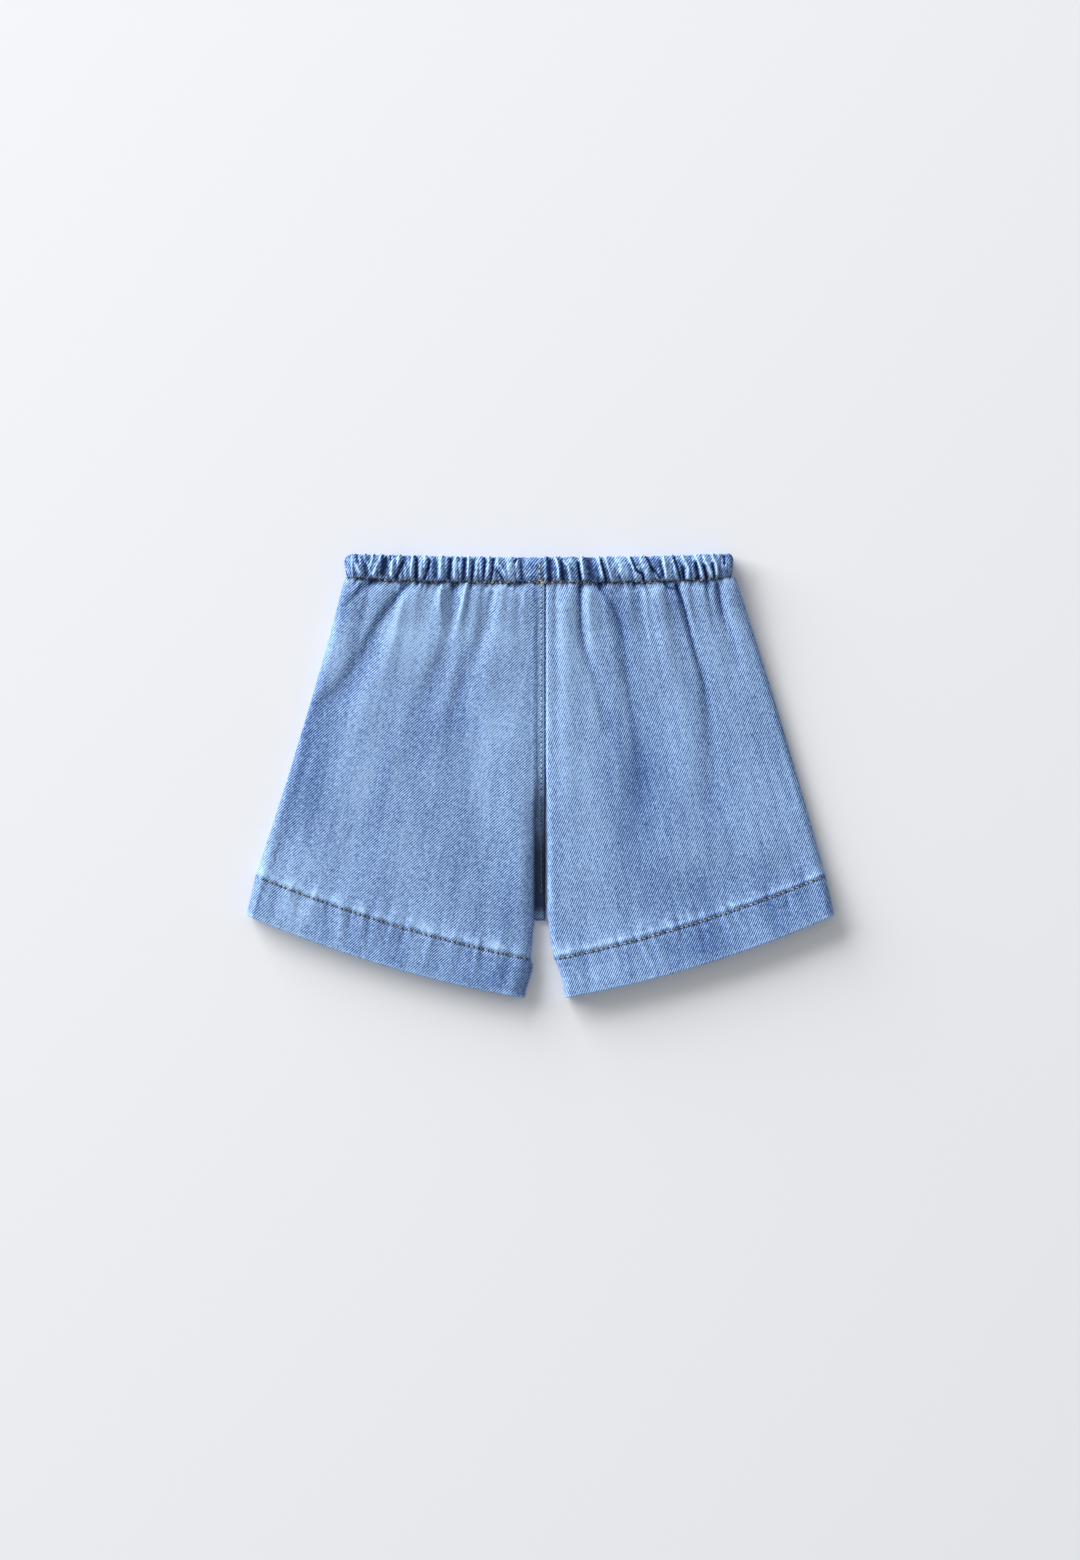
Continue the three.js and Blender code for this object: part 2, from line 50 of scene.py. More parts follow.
# Cut and lie of the legs, the same as the solids they replace
cut = {
    "waistHalf": 121.3,  # from the middle to the fold at the side
    "casingTopAtSide": 137.9,
    "casingTopDip": 2.4,  # the upper edge sinks by this at the middle
    "waistSeamAtSide": 122.8,  # stitch line under the casing
    "waistSeamDip": 2.8,
    "waistWaver": 0.6,  # the gathers push the stitch line up and down by this
    "valleyWaver": 0.5,  # and the edges along the dark strip between the legs
    "legLong": 185.0,  # from stitch line to stitch line
    "hemOuter": (177.0, -62.0),  # outer end of the hem's stitch line
    "hemCorner": (182.5, -86.4),  # outer corner of the hem's fold
    "hemInnerY": -114.0,
    "hemTipY": -137.7,
    "hemWide": 24.0,
    "hemShare": 0.13,  # v runs this far past 1 in the hem
    "hemSag": (4.4, 5.6),
    "bow": {"left": -1.8, "right": 1.2},
    "seamX": 2.8,  # centre seams, front and back
    "crotchY": -88.0,
}

# How the layers stand above the ground
lie = {
    "layerPlane": 5.9,  # where the front casing meets the back one
    "sideSeamZ": 3.0,
    "casingFade": 0.15,
    "sideRoll": 5.0,
    "innerRoll": {"left": 9.0, "right": 4.5},
    "valleyZ": 2.0,  # floor of the dark strip between the legs
    "lap": 0.02,  # the front's edge stands above the back's by twice this
    "cloth": 0.8,
    "hemFold": 1.0,  # radius of the fold at the hem's edge
}

frontHeight = makeTable("v z", [
    (0.00, 8.7), (0.04, 9.2), (0.15, 7.6), (0.35, 6.2), (0.65, 6.0), (0.90, 6.8), (1.00, 7.7),
    (1.13, 9.2),
])
backHeight = makeTable("v z", [
    (0.00, 2.6), (0.05, 1.7), (0.15, 0.0), (1.13, 0.0),
])
innerEdge = {
    "left": makeTable("y x", [
        (122, -2.2), (0, -2.2), (-34, -4.0), (-93, -4.1), (-113, -5.9), (-138, -10.6),
    ]),
    "right": makeTable("y x", [
        (122, 3.1), (0, 3.1), (-34, 3.5), (-83, 3.8), (-100, 6.3), (-138, 14.8),
    ]),
}
seamHeight = makeTable("y drop toFloor", [
    (122, 0.4, 0.0), (40, 0.7, 0.0), (5, 1.0, 0.12), (-25, 1.0, 0.75), (-50, 1.0, 1.0), (-140, 1.0, 1.0),
])


def smoothStep(t):
    t = np.clip(t, 0.0, 1.0)
    return t * t * (3.0 - 2.0 * t)


def mix(a, b, t):
    return a + (b - a) * t


def readTable(rows, key, at, name):
    # one column of a table, eased between its rows
    keys = np.array([row[key] for row in rows], float)
    values = np.array([row[name] for row in rows], float)
    if keys[0] > keys[-1]:
        keys, values = keys[::-1], values[::-1]
    i = np.clip(np.searchsorted(keys, at) - 1, 0, len(keys) - 2)
    t = (at - keys[i]) / (keys[i + 1] - keys[i])
    return mix(values[i], values[i + 1], smoothStep(t))


def bell(far, reach):
    return np.exp(-((far / reach) ** 2))


def softNoise(x, y, size, seed):
    # smooth random patches about this size across, from -1 to 1
    lattice = np.random.default_rng(seed).uniform(-1.0, 1.0, (64, 64))
    u, v = np.asarray(x) / size, np.asarray(y) / size
    i, j = np.floor(u).astype(int), np.floor(v).astype(int)
    a, b = smoothStep(u - i), smoothStep(v - j)
    at = lambda di, dj: lattice[(i + di) % 64, (j + dj) % 64]
    return mix(mix(at(0, 0), at(1, 0), a), mix(at(0, 1), at(1, 1), a), b)


def noises(rows, x, y):
    # several noises; a row is (share, size, seed)
    return sum(share * softNoise(x, y, size, seed) for share, size, seed in rows)


def tracePath(points, steps=8):
    # a smooth curve through a fold's points
    p = np.array(points, float)
    if len(p) == 2:
        return mix(p[0], p[1], np.linspace(0, 1, steps)[:, None])
    ends = np.vstack([2 * p[0] - p[1], p, 2 * p[-1] - p[-2]])
    line = []
    for a, b, c, d in zip(ends, ends[1:], ends[2:], ends[3:]):
        for t in np.linspace(0, 1, steps, endpoint=False):
            line.append(0.5 * (2 * b + (c - a) * t + (2 * a - 5 * b + 4 * c - d) * t ** 2
                               + (3 * b - a - 3 * c + d) * t ** 3))
    return np.array(line + [p[-1]])


def foldAt(fold, x, y):
    # Height that one fold adds. Its widths are (left, right) of the path at its start and at its end.
    line = tracePath(fold["path"])
    (leftA, rightA), (leftB, rightB) = fold["width"]
    reach = 2.6 * max(leftA, rightA, leftB, rightB)
    near = ((x > line[:, 0].min() - reach) & (x < line[:, 0].max() + reach)
            & (y > line[:, 1].min() - reach) & (y < line[:, 1].max() + reach))
    height = np.zeros_like(x)
    if not near.any():
        return height
    px, py = x[near], y[near]
    best = np.full(px.shape, np.inf)
    along = np.zeros_like(px)
    side = np.zeros_like(px)
    last = len(line) - 1
    for i in range(last):
        ax, ay = line[i]
        dx, dy = line[i + 1] - line[i]
        raw = ((px - ax) * dx + (py - ay) * dy) / (dx * dx + dy * dy)
        t = np.clip(raw, 0, 1)
        far = np.hypot(px - ax - t * dx, py - ay - t * dy)
        closer = far < best
        best = np.where(closer, far, best)
        along = np.where(closer, (i + t) / last, along)
        side = np.where(closer, dx * (py - ay) - dy * (px - ax), side)
    left = mix(leftA, leftB, along)
    right = mix(rightA, rightB, along)
    width = np.where(side < 0, left, right)
    height[near] = mix(*fold["height"], along) * bell(best, width)
    return height


def waistSeamY(x):
    share = np.minimum(1, np.abs(x) / cut["waistHalf"])
    waver = cut["waistWaver"] * softNoise(x, 0.0, 3.4, 41)
    return cut["waistSeamAtSide"] - cut["waistSeamDip"] * (1 - share ** 3) + waver


def casingTopY(x):
    share = np.minimum(1, np.abs(x) / cut["waistHalf"])
    return cut["casingTopAtSide"] - cut["casingTopDip"] * (1 - share ** 2)


# Folds of the front legs. Each runs down its path; height is above the leg, and a trough is negative.
frontFolds = makeTable("path width height", [
    ([(-108, 118), (-115, 111), (-123, 102)], [(1.6, 2.0), (4, 4)], (-0.7, -0.2)),
    ([(-83, 118), (-98, 99), (-106, 84), (-114, 68), (-127, 52), (-146, 30), (-162, -38)],
     [(2.0, 3.0), (6, 15)], (-1.3, -0.6)),
    ([(-79, 117), (-85, 98), (-93, 75), (-104, 52), (-113, 20), (-121, -15)],
     [(4, 4), (13, 13)], (0.8, 0.4)),
    ([(-54, 117), (-54, 106), (-55, 93), (-58, 76), (-67, 58), (-75, 33), (-84, -9)],
     [(1.9, 2.8), (9, 10)], (-1.25, -0.45)),
    ([(-46, 119), (-48, 106), (-52, 93), (-57, 76)], [(1.2, 1.8), (3, 3)], (1.2, 0.3)),
    ([(-61, 118), (-62, 106), (-60, 84)], [(1.4, 1.6), (4, 4)], (1.0, 0.3)),
    ([(-30, 112), (-34, 92), (-45, 66), (-53, 35)], [(2.2, 2.8), (7, 8)], (-0.9, -0.35)),
    ([(-23, 116), (-22, 96), (-19, 71), (-18, 10)], [(4, 4), (10, 10)], (0.7, 0.25)),
    ([(-75, 47), (-87, -15), (-96, -64)], [(11, 11), (14, 14)], (0.35, 0.35)),
    ([(-44, 28), (-40, -14), (-37, -52)], [(10, 10), (14, 14)], (-0.25, -0.3)),
    ([(-17, -9), (-13, -48), (-13, -77)], [(6, 6), (8, 8)], (0.2, 0.3)),
    ([(24, 117), (25, 92), (29, 73), (36, 55), (41, 28)], [(1.1, 2.2), (4, 6)], (-1.2, -0.45)),
    ([(36, 119), (43, 108), (50, 92), (54, 63), (60, 34), (62, -15)], [(1.1, 1.9), (7, 8)], (-1.0, -0.6)),
    ([(31, 112), (37, 78), (44, 47)], [(4, 4), (8, 8)], (0.4, 0.25)),
    ([(71, 112), (79, 78), (89, 42), (93, -2)], [(6, 5), (12, 10)], (0.9, 0.5)),
    ([(84, 118), (90, 97), (96, 76), (101, 58), (103, 42), (106, 10)],
     [(0.9, 2.2), (3.5, 5.5)], (-1.8, -0.45)),
    ([(102, 119), (105, 108), (109, 90)], [(1.0, 1.9), (3, 3)], (-1.1, -0.3)),
    ([(109, 118), (112, 104), (116, 89), (121, 69)], [(1.0, 1.9), (4, 4)], (-1.1, -0.3)),
    ([(117, 109), (126, 78), (130, 53)], [(3, 3), (6, 6)], (0.4, 0.3)),
    ([(14, 104), (16, 42), (16, -15), (17, -60)], [(5, 6), (9, 9)], (0.5, 0.25)),
    ([(60, 9), (60, -25), (58, -56)], [(10, 10), (12, 12)], (-0.35, -0.3)),
    ([(86, 9), (88, -18), (90, -43)], [(10, 10), (12, 12)], (0.3, 0.3)),
    ([(104, -10), (108, -35), (112, -54)], [(8, 8), (10, 10)], (-0.3, -0.25)),
    ([(122, 0), (130, -25), (138, -50)], [(10, 10), (12, 12)], (0.25, 0.25)),
])

# Casing pleats of the front, left to right: crease at the upper edge and at the stitch line
frontPleats = makeTable("top foot rise", [
    (-116.3, -112.5, 1.5), (-108.8, -106.8, 1.9), (-104.2, -103.0, 1.2), (-99.1, -99.9, 2.1),
    (-93.9, -92.4, 1.7), (-88.4, -89.3, 2.2), (-84.4, -84.3, 1.3), (-79.0, -79.7, 2.2),
    (-75.3, -75.3, 1.5), (-71.0, -71.6, 2.1), (-67.6, -67.9, 1.6), (-63.6, -62.6, 2.0),
    (-58.0, -58.8, 2.3), (-54.0, -53.6, 1.7), (-49.5, -49.7, 2.2), (-44.9, -45.3, 1.5),
    (-41.2, -41.9, 1.9), (-36.9, -37.1, 1.8), (-31.5, -31.9, 1.6), (-26.6, -25.1, 1.2),
    (-21.6, -18.8, 1.7), (-15.2, -14.2, 2.1), (-9.0, -8.6, 1.1), (3.0, 3.1, 1.9), (9.6, 10.9, 2.0),
    (14.9, 17.9, 1.5), (25.1, 25.7, 2.1), (30.0, 31.6, 1.3), (35.0, 37.3, 2.1), (40.9, 43.8, 1.4),
    (48.0, 50.6, 1.2), (55.5, 58.7, 2.2), (61.7, 64.8, 1.7), (68.3, 72.6, 2.3), (75.2, 77.9, 1.8),
    (81.5, 84.3, 2.3), (86.7, 90.3, 1.6), (92.0, 94.5, 1.7), (96.6, 99.6, 2.2), (100.9, 103.6, 1.8),
    (106.0, 108.9, 2.2), (111.2, 112.5, 1.4),
])
pleatStart = 1.0  # a pleat's trough lies this far before its crease line

# Creases pressed sharply into the cloth of the legs. wide is the reach, dark is the painted shade that they
# add along the crease.
creases = makeTable("path wide dark deep", [
    ([(84.6, 116.5), (87.7, 109.1), (90.2, 99.2), (92.7, 88), (95.8, 75.6), (100.8, 57.7), (103.2, 42.2)],
     0.55, (-2.6, -0.5), -0.3),
    ([(24.5, 115.3), (25.1, 91.8), (28.8, 73.2), (35, 56)], 0.6, (-1.3, -0.2), -0.2),
    ([(33.2, 120.3), (37.5, 114.7), (42.5, 109.7)], 0.45, (-1.5, -0.3), -0.2),
    ([(43, 108.5), (50, 92), (53.6, 63)], 0.8, (-0.9, -0.2), -0.1),
    ([(102.6, 117.8), (104.5, 108.5)], 0.5, (-1.6, -0.3), -0.2),
    ([(110, 120.3), (111.9, 104.8), (116.3, 88)], 0.5, (-1.6, -0.3), -0.2),
    ([(64.2, 121), (66, 115.3)], 0.5, (-2.4, -0.8), -0.4),
    ([(75.3, 121), (78.4, 117.2), (82.2, 115.9), (84.6, 116.5)], 0.5, (-2.4, -1.6), -0.5),
    ([(-61.4, 116), (-61.2, 106), (-59.5, 92)], 0.5, (-1.3, -0.2), -0.1),
    ([(-50, 112), (-52.5, 98), (-56, 84)], 0.6, (-1.0, -0.2), -0.1),
    ([(-111, 119), (-114, 113.5), (-120, 106)], 0.6, (-1.4, -0.2), -0.2),
    ([(-84, 117.5), (-97.7, 99.8), (-105.1, 85.6)], 0.9, (-0.9, -0.2), -0.1),
    ([(-25.7, 113.5), (-27.6, 105.4), (-33, 93)], 0.7, (-0.9, -0.2), -0.1),
    ([(60.5, 113), (62, 99), (66, 84)], 0.7, (-0.7, -0.1), -0.1),
    ([(70.4, 108.5), (76, 88), (82, 62)], 1.2, (-0.5, -0.1), -0.1),
])

foldGain = 1.35  # how much stronger the front's folds are than their rows say
creaseFade = 0.3  # share of a crease's depth at its lower end
pucker = {
    "long": (3.0, 9.0),
    "wide": 0.95,
    "wideVary": (0.75, 1.3),
    "deep": -1.6,
    "deepVary": (0.6, 1.3),
    "fan": 0.30,  # how far the gathers lean outwards
    "drift": 0.8,
    "offMiddle": 0.6,  # a gather between two pleats stands off their middle by up to this
    "betweenLong": 0.6,  # and is shorter by this share
    "clear": 3,  # none this close to the centre seam
}
streak = {
    "every": 6.5,
    "everyVary": (0.5, 1.4),
    "long": (35.0, 140.0),
    "wide": (1.5, 3.6),
    "high": (0.3, 0.7),
    "start": (1, 7),  # below the stitch line
    "bend": 0.42,
    "clear": 6,
    "ends": (7, 6),
}
rope = {
    "every": 6.5,
    "everyVary": (0.5, 1.5),
    "wide": (1.1, 2.4),
    "high": (0.2, 0.55),
    "lean": 7.0,
    "leanVary": (-0.3, 1.0),
    "inHem": (1.004, (0.5, 0.98)),  # v where it starts, and the share of the hem that it crosses
    "above": (0.994, (0.02, 0.06)),  # above the stitches: v where it starts, and how far up it goes
    "aboveLean": 0.4,
    "ends": (0.03, 0.97),
}


def makePuckers():
    # short gathers that run on from the pleats into the legs, and longer soft streaks that fan out below
    chance = np.random.default_rng(5)
    made = []
    feet = [pleat["foot"] - pleatStart for pleat in frontPleats]
    off = pucker["offMiddle"]
    between = [mix(a, b, 0.5) + chance.uniform(-off, off) for a, b in zip(feet, feet[1:])]
    for n, x in enumerate(feet + between):
        if abs(x - cut["seamX"]) < pucker["clear"]:
            continue
        y = float(waistSeamY(x))
        long = chance.uniform(*pucker["long"]) * (1 if n < len(feet) else pucker["betweenLong"])
        lean = x / cut["waistHalf"] * pucker["fan"] * long
        drift = lean + chance.uniform(-pucker["drift"], pucker["drift"])
        wide = pucker["wide"] * chance.uniform(*pucker["wideVary"])
        made.append({"path": [(x, y + 1), (x + drift, y - long)],
                     "width": [(wide * 0.7, wide * 1.2), (1.6 * wide, 2 * wide)],
                     "height": (pucker["deep"] * chance.uniform(*pucker["deepVary"]), 0.0)})
    x = -cut["waistHalf"] + streak["ends"][0]
    sign = 1
    while x < cut["waistHalf"] - streak["ends"][1]:
        if abs(x - cut["seamX"]) > streak["clear"]:
            long = chance.uniform(*streak["long"])
            wide = chance.uniform(*streak["wide"])
            lean = x / cut["waistHalf"] * pucker["fan"] * long
            y = float(waistSeamY(x)) - chance.uniform(*streak["start"])
            high = sign * chance.uniform(*streak["high"])
            middle = (x + streak["bend"] * lean + chance.uniform(-1, 1), y - 0.5 * long)
            made.append({"path": [(x, y), middle, (x + lean, y - long)], "height": (high, 0.0),
                         "width": [(0.8 * wide, 1.2 * wide), (2.4 * wide, 2.4 * wide)]})
        x += streak["every"] * chance.uniform(*streak["everyVary"])
        sign = -sign
    return made


def makeHemRopes():
    # slanted wrinkles that the hem's stitches pull into the turned-up cloth, and short ones above them
    chance = np.random.default_rng(12)
    made = []
    hemFrom, hemReach = rope["inHem"]
    aboveFrom, aboveReach = rope["above"]
    for side in ("left", "right"):
        sign = 1
        share, shareEnd = rope["ends"]
        while share < shareEnd:
            for fromV, toV in ((hemFrom, 1.0 + cut["hemShare"] * chance.uniform(*hemReach)),
                               (aboveFrom, aboveFrom - chance.uniform(*aboveReach))):
                ends = []
                for v in (fromV, toV):
                    outerX, outerY, innerX, innerY, sag = panelRow(side, np.array(v))
                    x = float(mix(outerX, innerX, share))
                    ends.append((x, float(mix(outerY, innerY, share) - sag * 4 * share * (1 - share))))
                lean = chance.uniform(*rope["leanVary"]) * rope["lean"]
                ends[1] = (ends[1][0] + lean * (1 if toV > 1 else rope["aboveLean"]), ends[1][1])
                wide = chance.uniform(*rope["wide"])
                made.append({"path": ends, "width": [(wide, wide), (1.3 * wide, 1.3 * wide)],
                             "height": (sign * chance.uniform(*rope["high"]), 0.1 * sign)})
            share += rope["every"] / cut["legLong"] * chance.uniform(*rope["everyVary"])
            sign = -sign
    return made


def panelRow(side, v):
    # ends of a leg's row: its outer side and its inner outline
    sign = -1 if side == "left" else 1
    inHem = np.maximum(0, (v - 1) / cut["hemShare"])
    t = np.minimum(1, v)
    outerX = sign * (mix(cut["waistHalf"], cut["hemOuter"][0], t) + cut["bow"][side] * 4 * t * (1 - t)
                     + (cut["hemCorner"][0] - cut["hemOuter"][0]) * inHem)
    outerY = (mix(cut["waistSeamAtSide"], cut["hemOuter"][1], t)
              + (cut["hemCorner"][1] - cut["hemOuter"][1]) * inHem)
    innerY = (mix(cut["waistSeamAtSide"] - cut["waistSeamDip"], cut["hemInnerY"], t)
              + (cut["hemTipY"] - cut["hemInnerY"]) * inHem)
    innerX = readTable(innerEdge[side], "y", innerY, "x")
    innerX = innerX + cut["valleyWaver"] * softNoise(innerY, 0.0, 7.0, 51) * smoothStep((20 - innerY) / 30)
    sag = np.where(v < 1, cut["hemSag"][0] * t, mix(cut["hemSag"][0], cut["hemSag"][1], inHem))
    return outerX, outerY, innerX, innerY, sag


def waistBelly(side, share):
    outerX, outerY, innerX, innerY, _ = panelRow(side, np.array(0.0))
    return waistSeamY(mix(outerX, innerX, share)) - mix(outerY, innerY, share)


# Grids of the legs: points across a row, and rows in each of the four stretches down the leg
legGrid = {
    "front": {"across": 200, "roll": 13, "floor": 14, "down": (56, 84, 14, 20)},
    "back": {"across": 70, "roll": 6, "floor": 4, "down": (16, 84, 8, 10)},
}
legRows = {
    "breaks": (0.15, 0.955),  # v between the stretches
    "dive": [(-0.008, 1.6), (-0.003, 0.7)],  # v and depth of the rows that dive under the casing
    "bend": 9,  # rows round the hem's fold
    "turnUp": 6,
    "turnUpEnd": 1.5,  # the turned-up cloth ends this far below its stitches
    "rim": 1.0,  # the side edge runs on under the other layer by this
}

# Relief where the leg is sewn
relief = {
    "hemStep": 0.55,  # the turned-up cloth lifts the hem
    "hemStepAt": (-4.2, 2.6),  # where that starts, from the stitches, and over what length
    "hemGroove": -0.5,  # the stitches pull the hem down
    "hemGrooveWide": 1.1,
    "seamRidge": 0.3,  # seam allowance left of the centre seam
    "seamRidgeAt": (-6.5, 2.5),
    "seamGroove": -0.55,
    "seamGrooveWide": 0.8,
    "seamGrooveRight": 0.15,  # it lies right of the seam by this
    "uneven": ((0.10, 17.0, 3), (0.05, 7.0, 4)),
}


def legSurface(side, isFront, v, grid, folds):
    # Outer face of a leg at the rows v, as a dictionary of arrays
    outerX, outerY, innerX, innerY, sag = (a[:, None] for a in panelRow(side, v))
    long = np.abs(outerX - innerX)
    turn = np.linspace(0, math.pi / 2, grid["roll"] + 1)
    across = np.linspace(0, 1, grid["across"] + 1)[1:-1]
    innerRoll = lie["innerRoll"][side]
    startAt, endAt = lie["sideRoll"] / long, 1 - innerRoll / long
    share = np.hstack([
        lie["sideRoll"] * (1 - np.cos(turn)) / long,
        mix(startAt, endAt, across[None, :]),
        endAt + innerRoll * np.sin(turn) / long,
    ])
    count = share.shape[1]
    sideTurn, innerTurn = np.ones(count), np.ones(count)
    sideTurn[:len(turn)] = np.sin(turn)
    innerTurn[-len(turn):] = np.cos(turn)
    x = mix(outerX, innerX, share)
    y = (mix(outerY, innerY, share) - sag * 4 * share * (1 - share)
         + (1 - np.minimum(1, v))[:, None] * waistBelly(side, share))
    top = readTable(frontHeight if isFront else backHeight, "v", v, "z")[:, None] * np.ones_like(x)
    sideZ = mix(lie["layerPlane"], lie["sideSeamZ"], np.clip(v / lie["casingFade"], 0, 1))[:, None]
    valley = top[:, -1:]
    if isFront:
        drop = readTable(seamHeight, "y", innerY, "drop")
        toFloor = readTable(seamHeight, "y", innerY, "toFloor")
        valley = mix(valley - drop, lie["valleyZ"], toFloor)
    lap = lie["lap"] if isFront else -lie["lap"]
    edgeZ = np.where(innerY < cut["crotchY"] - 0.3, lie["sideSeamZ"] + lap, valley)
    z = np.where(sideTurn < 1, mix(sideZ, top, sideTurn), mix(edgeZ, top, innerTurn))
    inside = np.minimum(sideTurn, innerTurn)[None, :] * np.ones_like(x)
    isFloor = np.zeros(count, bool)
    if side == "left":
        # the left leg also covers the valley floor up to the centre seam
        part = 1 - (1 - np.linspace(0, 1, grid["floor"] + 1)[1:]) ** 1.6
        x = np.hstack([x, mix(innerX, cut["seamX"] + 0.1, part[None, :])])
        y = np.hstack([y, innerY * np.ones((1, len(part)))])
        z = np.hstack([z, valley * np.ones((1, len(part)))])
        inside = np.hstack([inside, np.zeros((len(v), len(part)))])
        isFloor = np.hstack([isFloor, np.ones(len(part), bool)])
    fold = np.zeros_like(x)
    for one in folds:
        fold += foldAt(one, x, y)
    # the hem's turned-up cloth, its stitch groove, and the centre seam
    below = (v - 1)[:, None]
    fromStitch = np.where(below < 0, below * cut["legLong"], below / cut["hemShare"] * cut["hemWide"])
    fromStitch = fromStitch * np.ones_like(x)
    stepFrom, stepOver = relief["hemStepAt"]
    step = relief["hemStep"] * smoothStep((fromStitch - stepFrom) / stepOver)
    groove = relief["hemGroove"] * bell(fromStitch, relief["hemGrooveWide"])
    fromSeam = x - cut["seamX"] - relief["seamGrooveRight"]
    seam = relief["seamGroove"] * bell(fromSeam, relief["seamGrooveWide"])
    if side == "left":
        ridgeFrom, ridgeOver = relief["seamRidgeAt"]
        seam += relief["seamRidge"] * smoothStep((x - ridgeFrom) / ridgeOver)
    seam = np.where(y > cut["crotchY"], seam, 0.0)
    weight = inside ** 2
    lift = fold * weight + (step + groove) * np.sqrt(inside)
    # the ground presses the back flat, apart from the grooves along its seams
    lift = lift + seam if isFront else np.maximum(0, -0.5 * (seam + groove))
    if isFront:
        lift += noises(relief["uneven"], x, y) * weight
    return {"x": x, "y": y, "z": z + lift, "fold": fold * weight, "inside": inside, "fromStitch": fromStitch,
            "isFloor": isFloor, "innerY": innerY[:, 0]}


def surfacePoints(s):
    return np.stack([s["x"], s["y"], s["z"]], axis=-1)


def surfaceNormals(side, isFront, v, grid, folds):
    # outward directions, from the rows just before and after
    step = 0.002
    before = surfacePoints(legSurface(side, isFront, v - step, grid, folds))
    after = surfacePoints(legSurface(side, isFront, v + step, grid, folds))
    here = 0.5 * (before + after)
    over = np.gradient(here, axis=1)
    normal = np.cross(after - before, over)
    normal /= np.linalg.norm(normal, axis=-1, keepdims=True)
    up = np.sign(normal[..., 2:3].mean(axis=(0, 1), keepdims=True))
    return normal * up * (1 if isFront else -1)


def makeMesh(name, points, faces, uvs, attributes):
    # points in millimetres; uvs and attributes are one value a point
    mesh = bpy.data.meshes.new(name)
    mesh.from_pydata((points * 0.001).tolist(), [], faces.tolist())
    mesh.polygons.foreach_set("use_smooth", np.ones(len(mesh.polygons), bool))
    if uvs is not None:
        corner = np.zeros(len(mesh.loops), np.int32)
        mesh.loops.foreach_get("vertex_index", corner)
        layer = mesh.uv_layers.new(name="grain")
        layer.data.foreach_set("uv", (uvs[corner] * 0.001).astype(np.float32).ravel())
    for key, values in attributes.items():
        kind = "FLOAT_COLOR" if values.ndim == 2 else "FLOAT"
        field = mesh.attributes.new(key, kind, "POINT")
        if kind == "FLOAT":
            field.data.foreach_set("value", values.astype(np.float32))
        else:
            field.data.foreach_set("color", values.astype(np.float32).ravel())
    mesh.validate()
    mesh.update()
    piece = bpy.data.objects.new(name, mesh)
    bpy.context.scene.collection.objects.link(piece)
    return piece


def gridFaces(rows, columns, keep=None, closed=False):
    i, j = np.meshgrid(np.arange(rows - 1), np.arange(columns if closed else columns - 1), indexing="ij")
    n = (j + 1) % columns
    here, below = i * columns, (i + 1) * columns
    quads = np.stack([here + j, below + j, below + n, here + n], axis=-1)
    return quads[keep(i, j)] if keep else quads.reshape(-1, 4)


def turnOut(piece, isUp):
    # the larger share of a sheet's faces has to look outwards
    normals = np.zeros(3 * len(piece.data.polygons))
    piece.data.polygons.foreach_get("normal", normals)
    if (normals[2::3].sum() > 0) != isUp:
        piece.data.flip_normals()


grainTurn = {"left": math.radians(-11.5), "right": math.radians(11.5)}


def grainCoordinates(side, x, y):
    c, s = math.cos(grainTurn[side]), math.sin(grainTurn[side])
    return np.stack([x * c + y * s, -x * s + y * c], axis=-1)


def followRoll(side, points, inside):
    # x along the cloth, so the weave isn't stretched where the edges roll down
    step = np.diff(points, axis=1)
    extra = np.linalg.norm(step, axis=-1) - np.linalg.norm(step[..., :2], axis=-1)
    extra = extra * ((inside[:, 1:] < 1) | (inside[:, :-1] < 1))
    run = np.concatenate([np.zeros((len(points), 1)), np.cumsum(extra, axis=1)], axis=1)
    run -= run[:, run.shape[1] // 2, None]
    return points[..., 0] + run * (1 if side == "left" else -1)


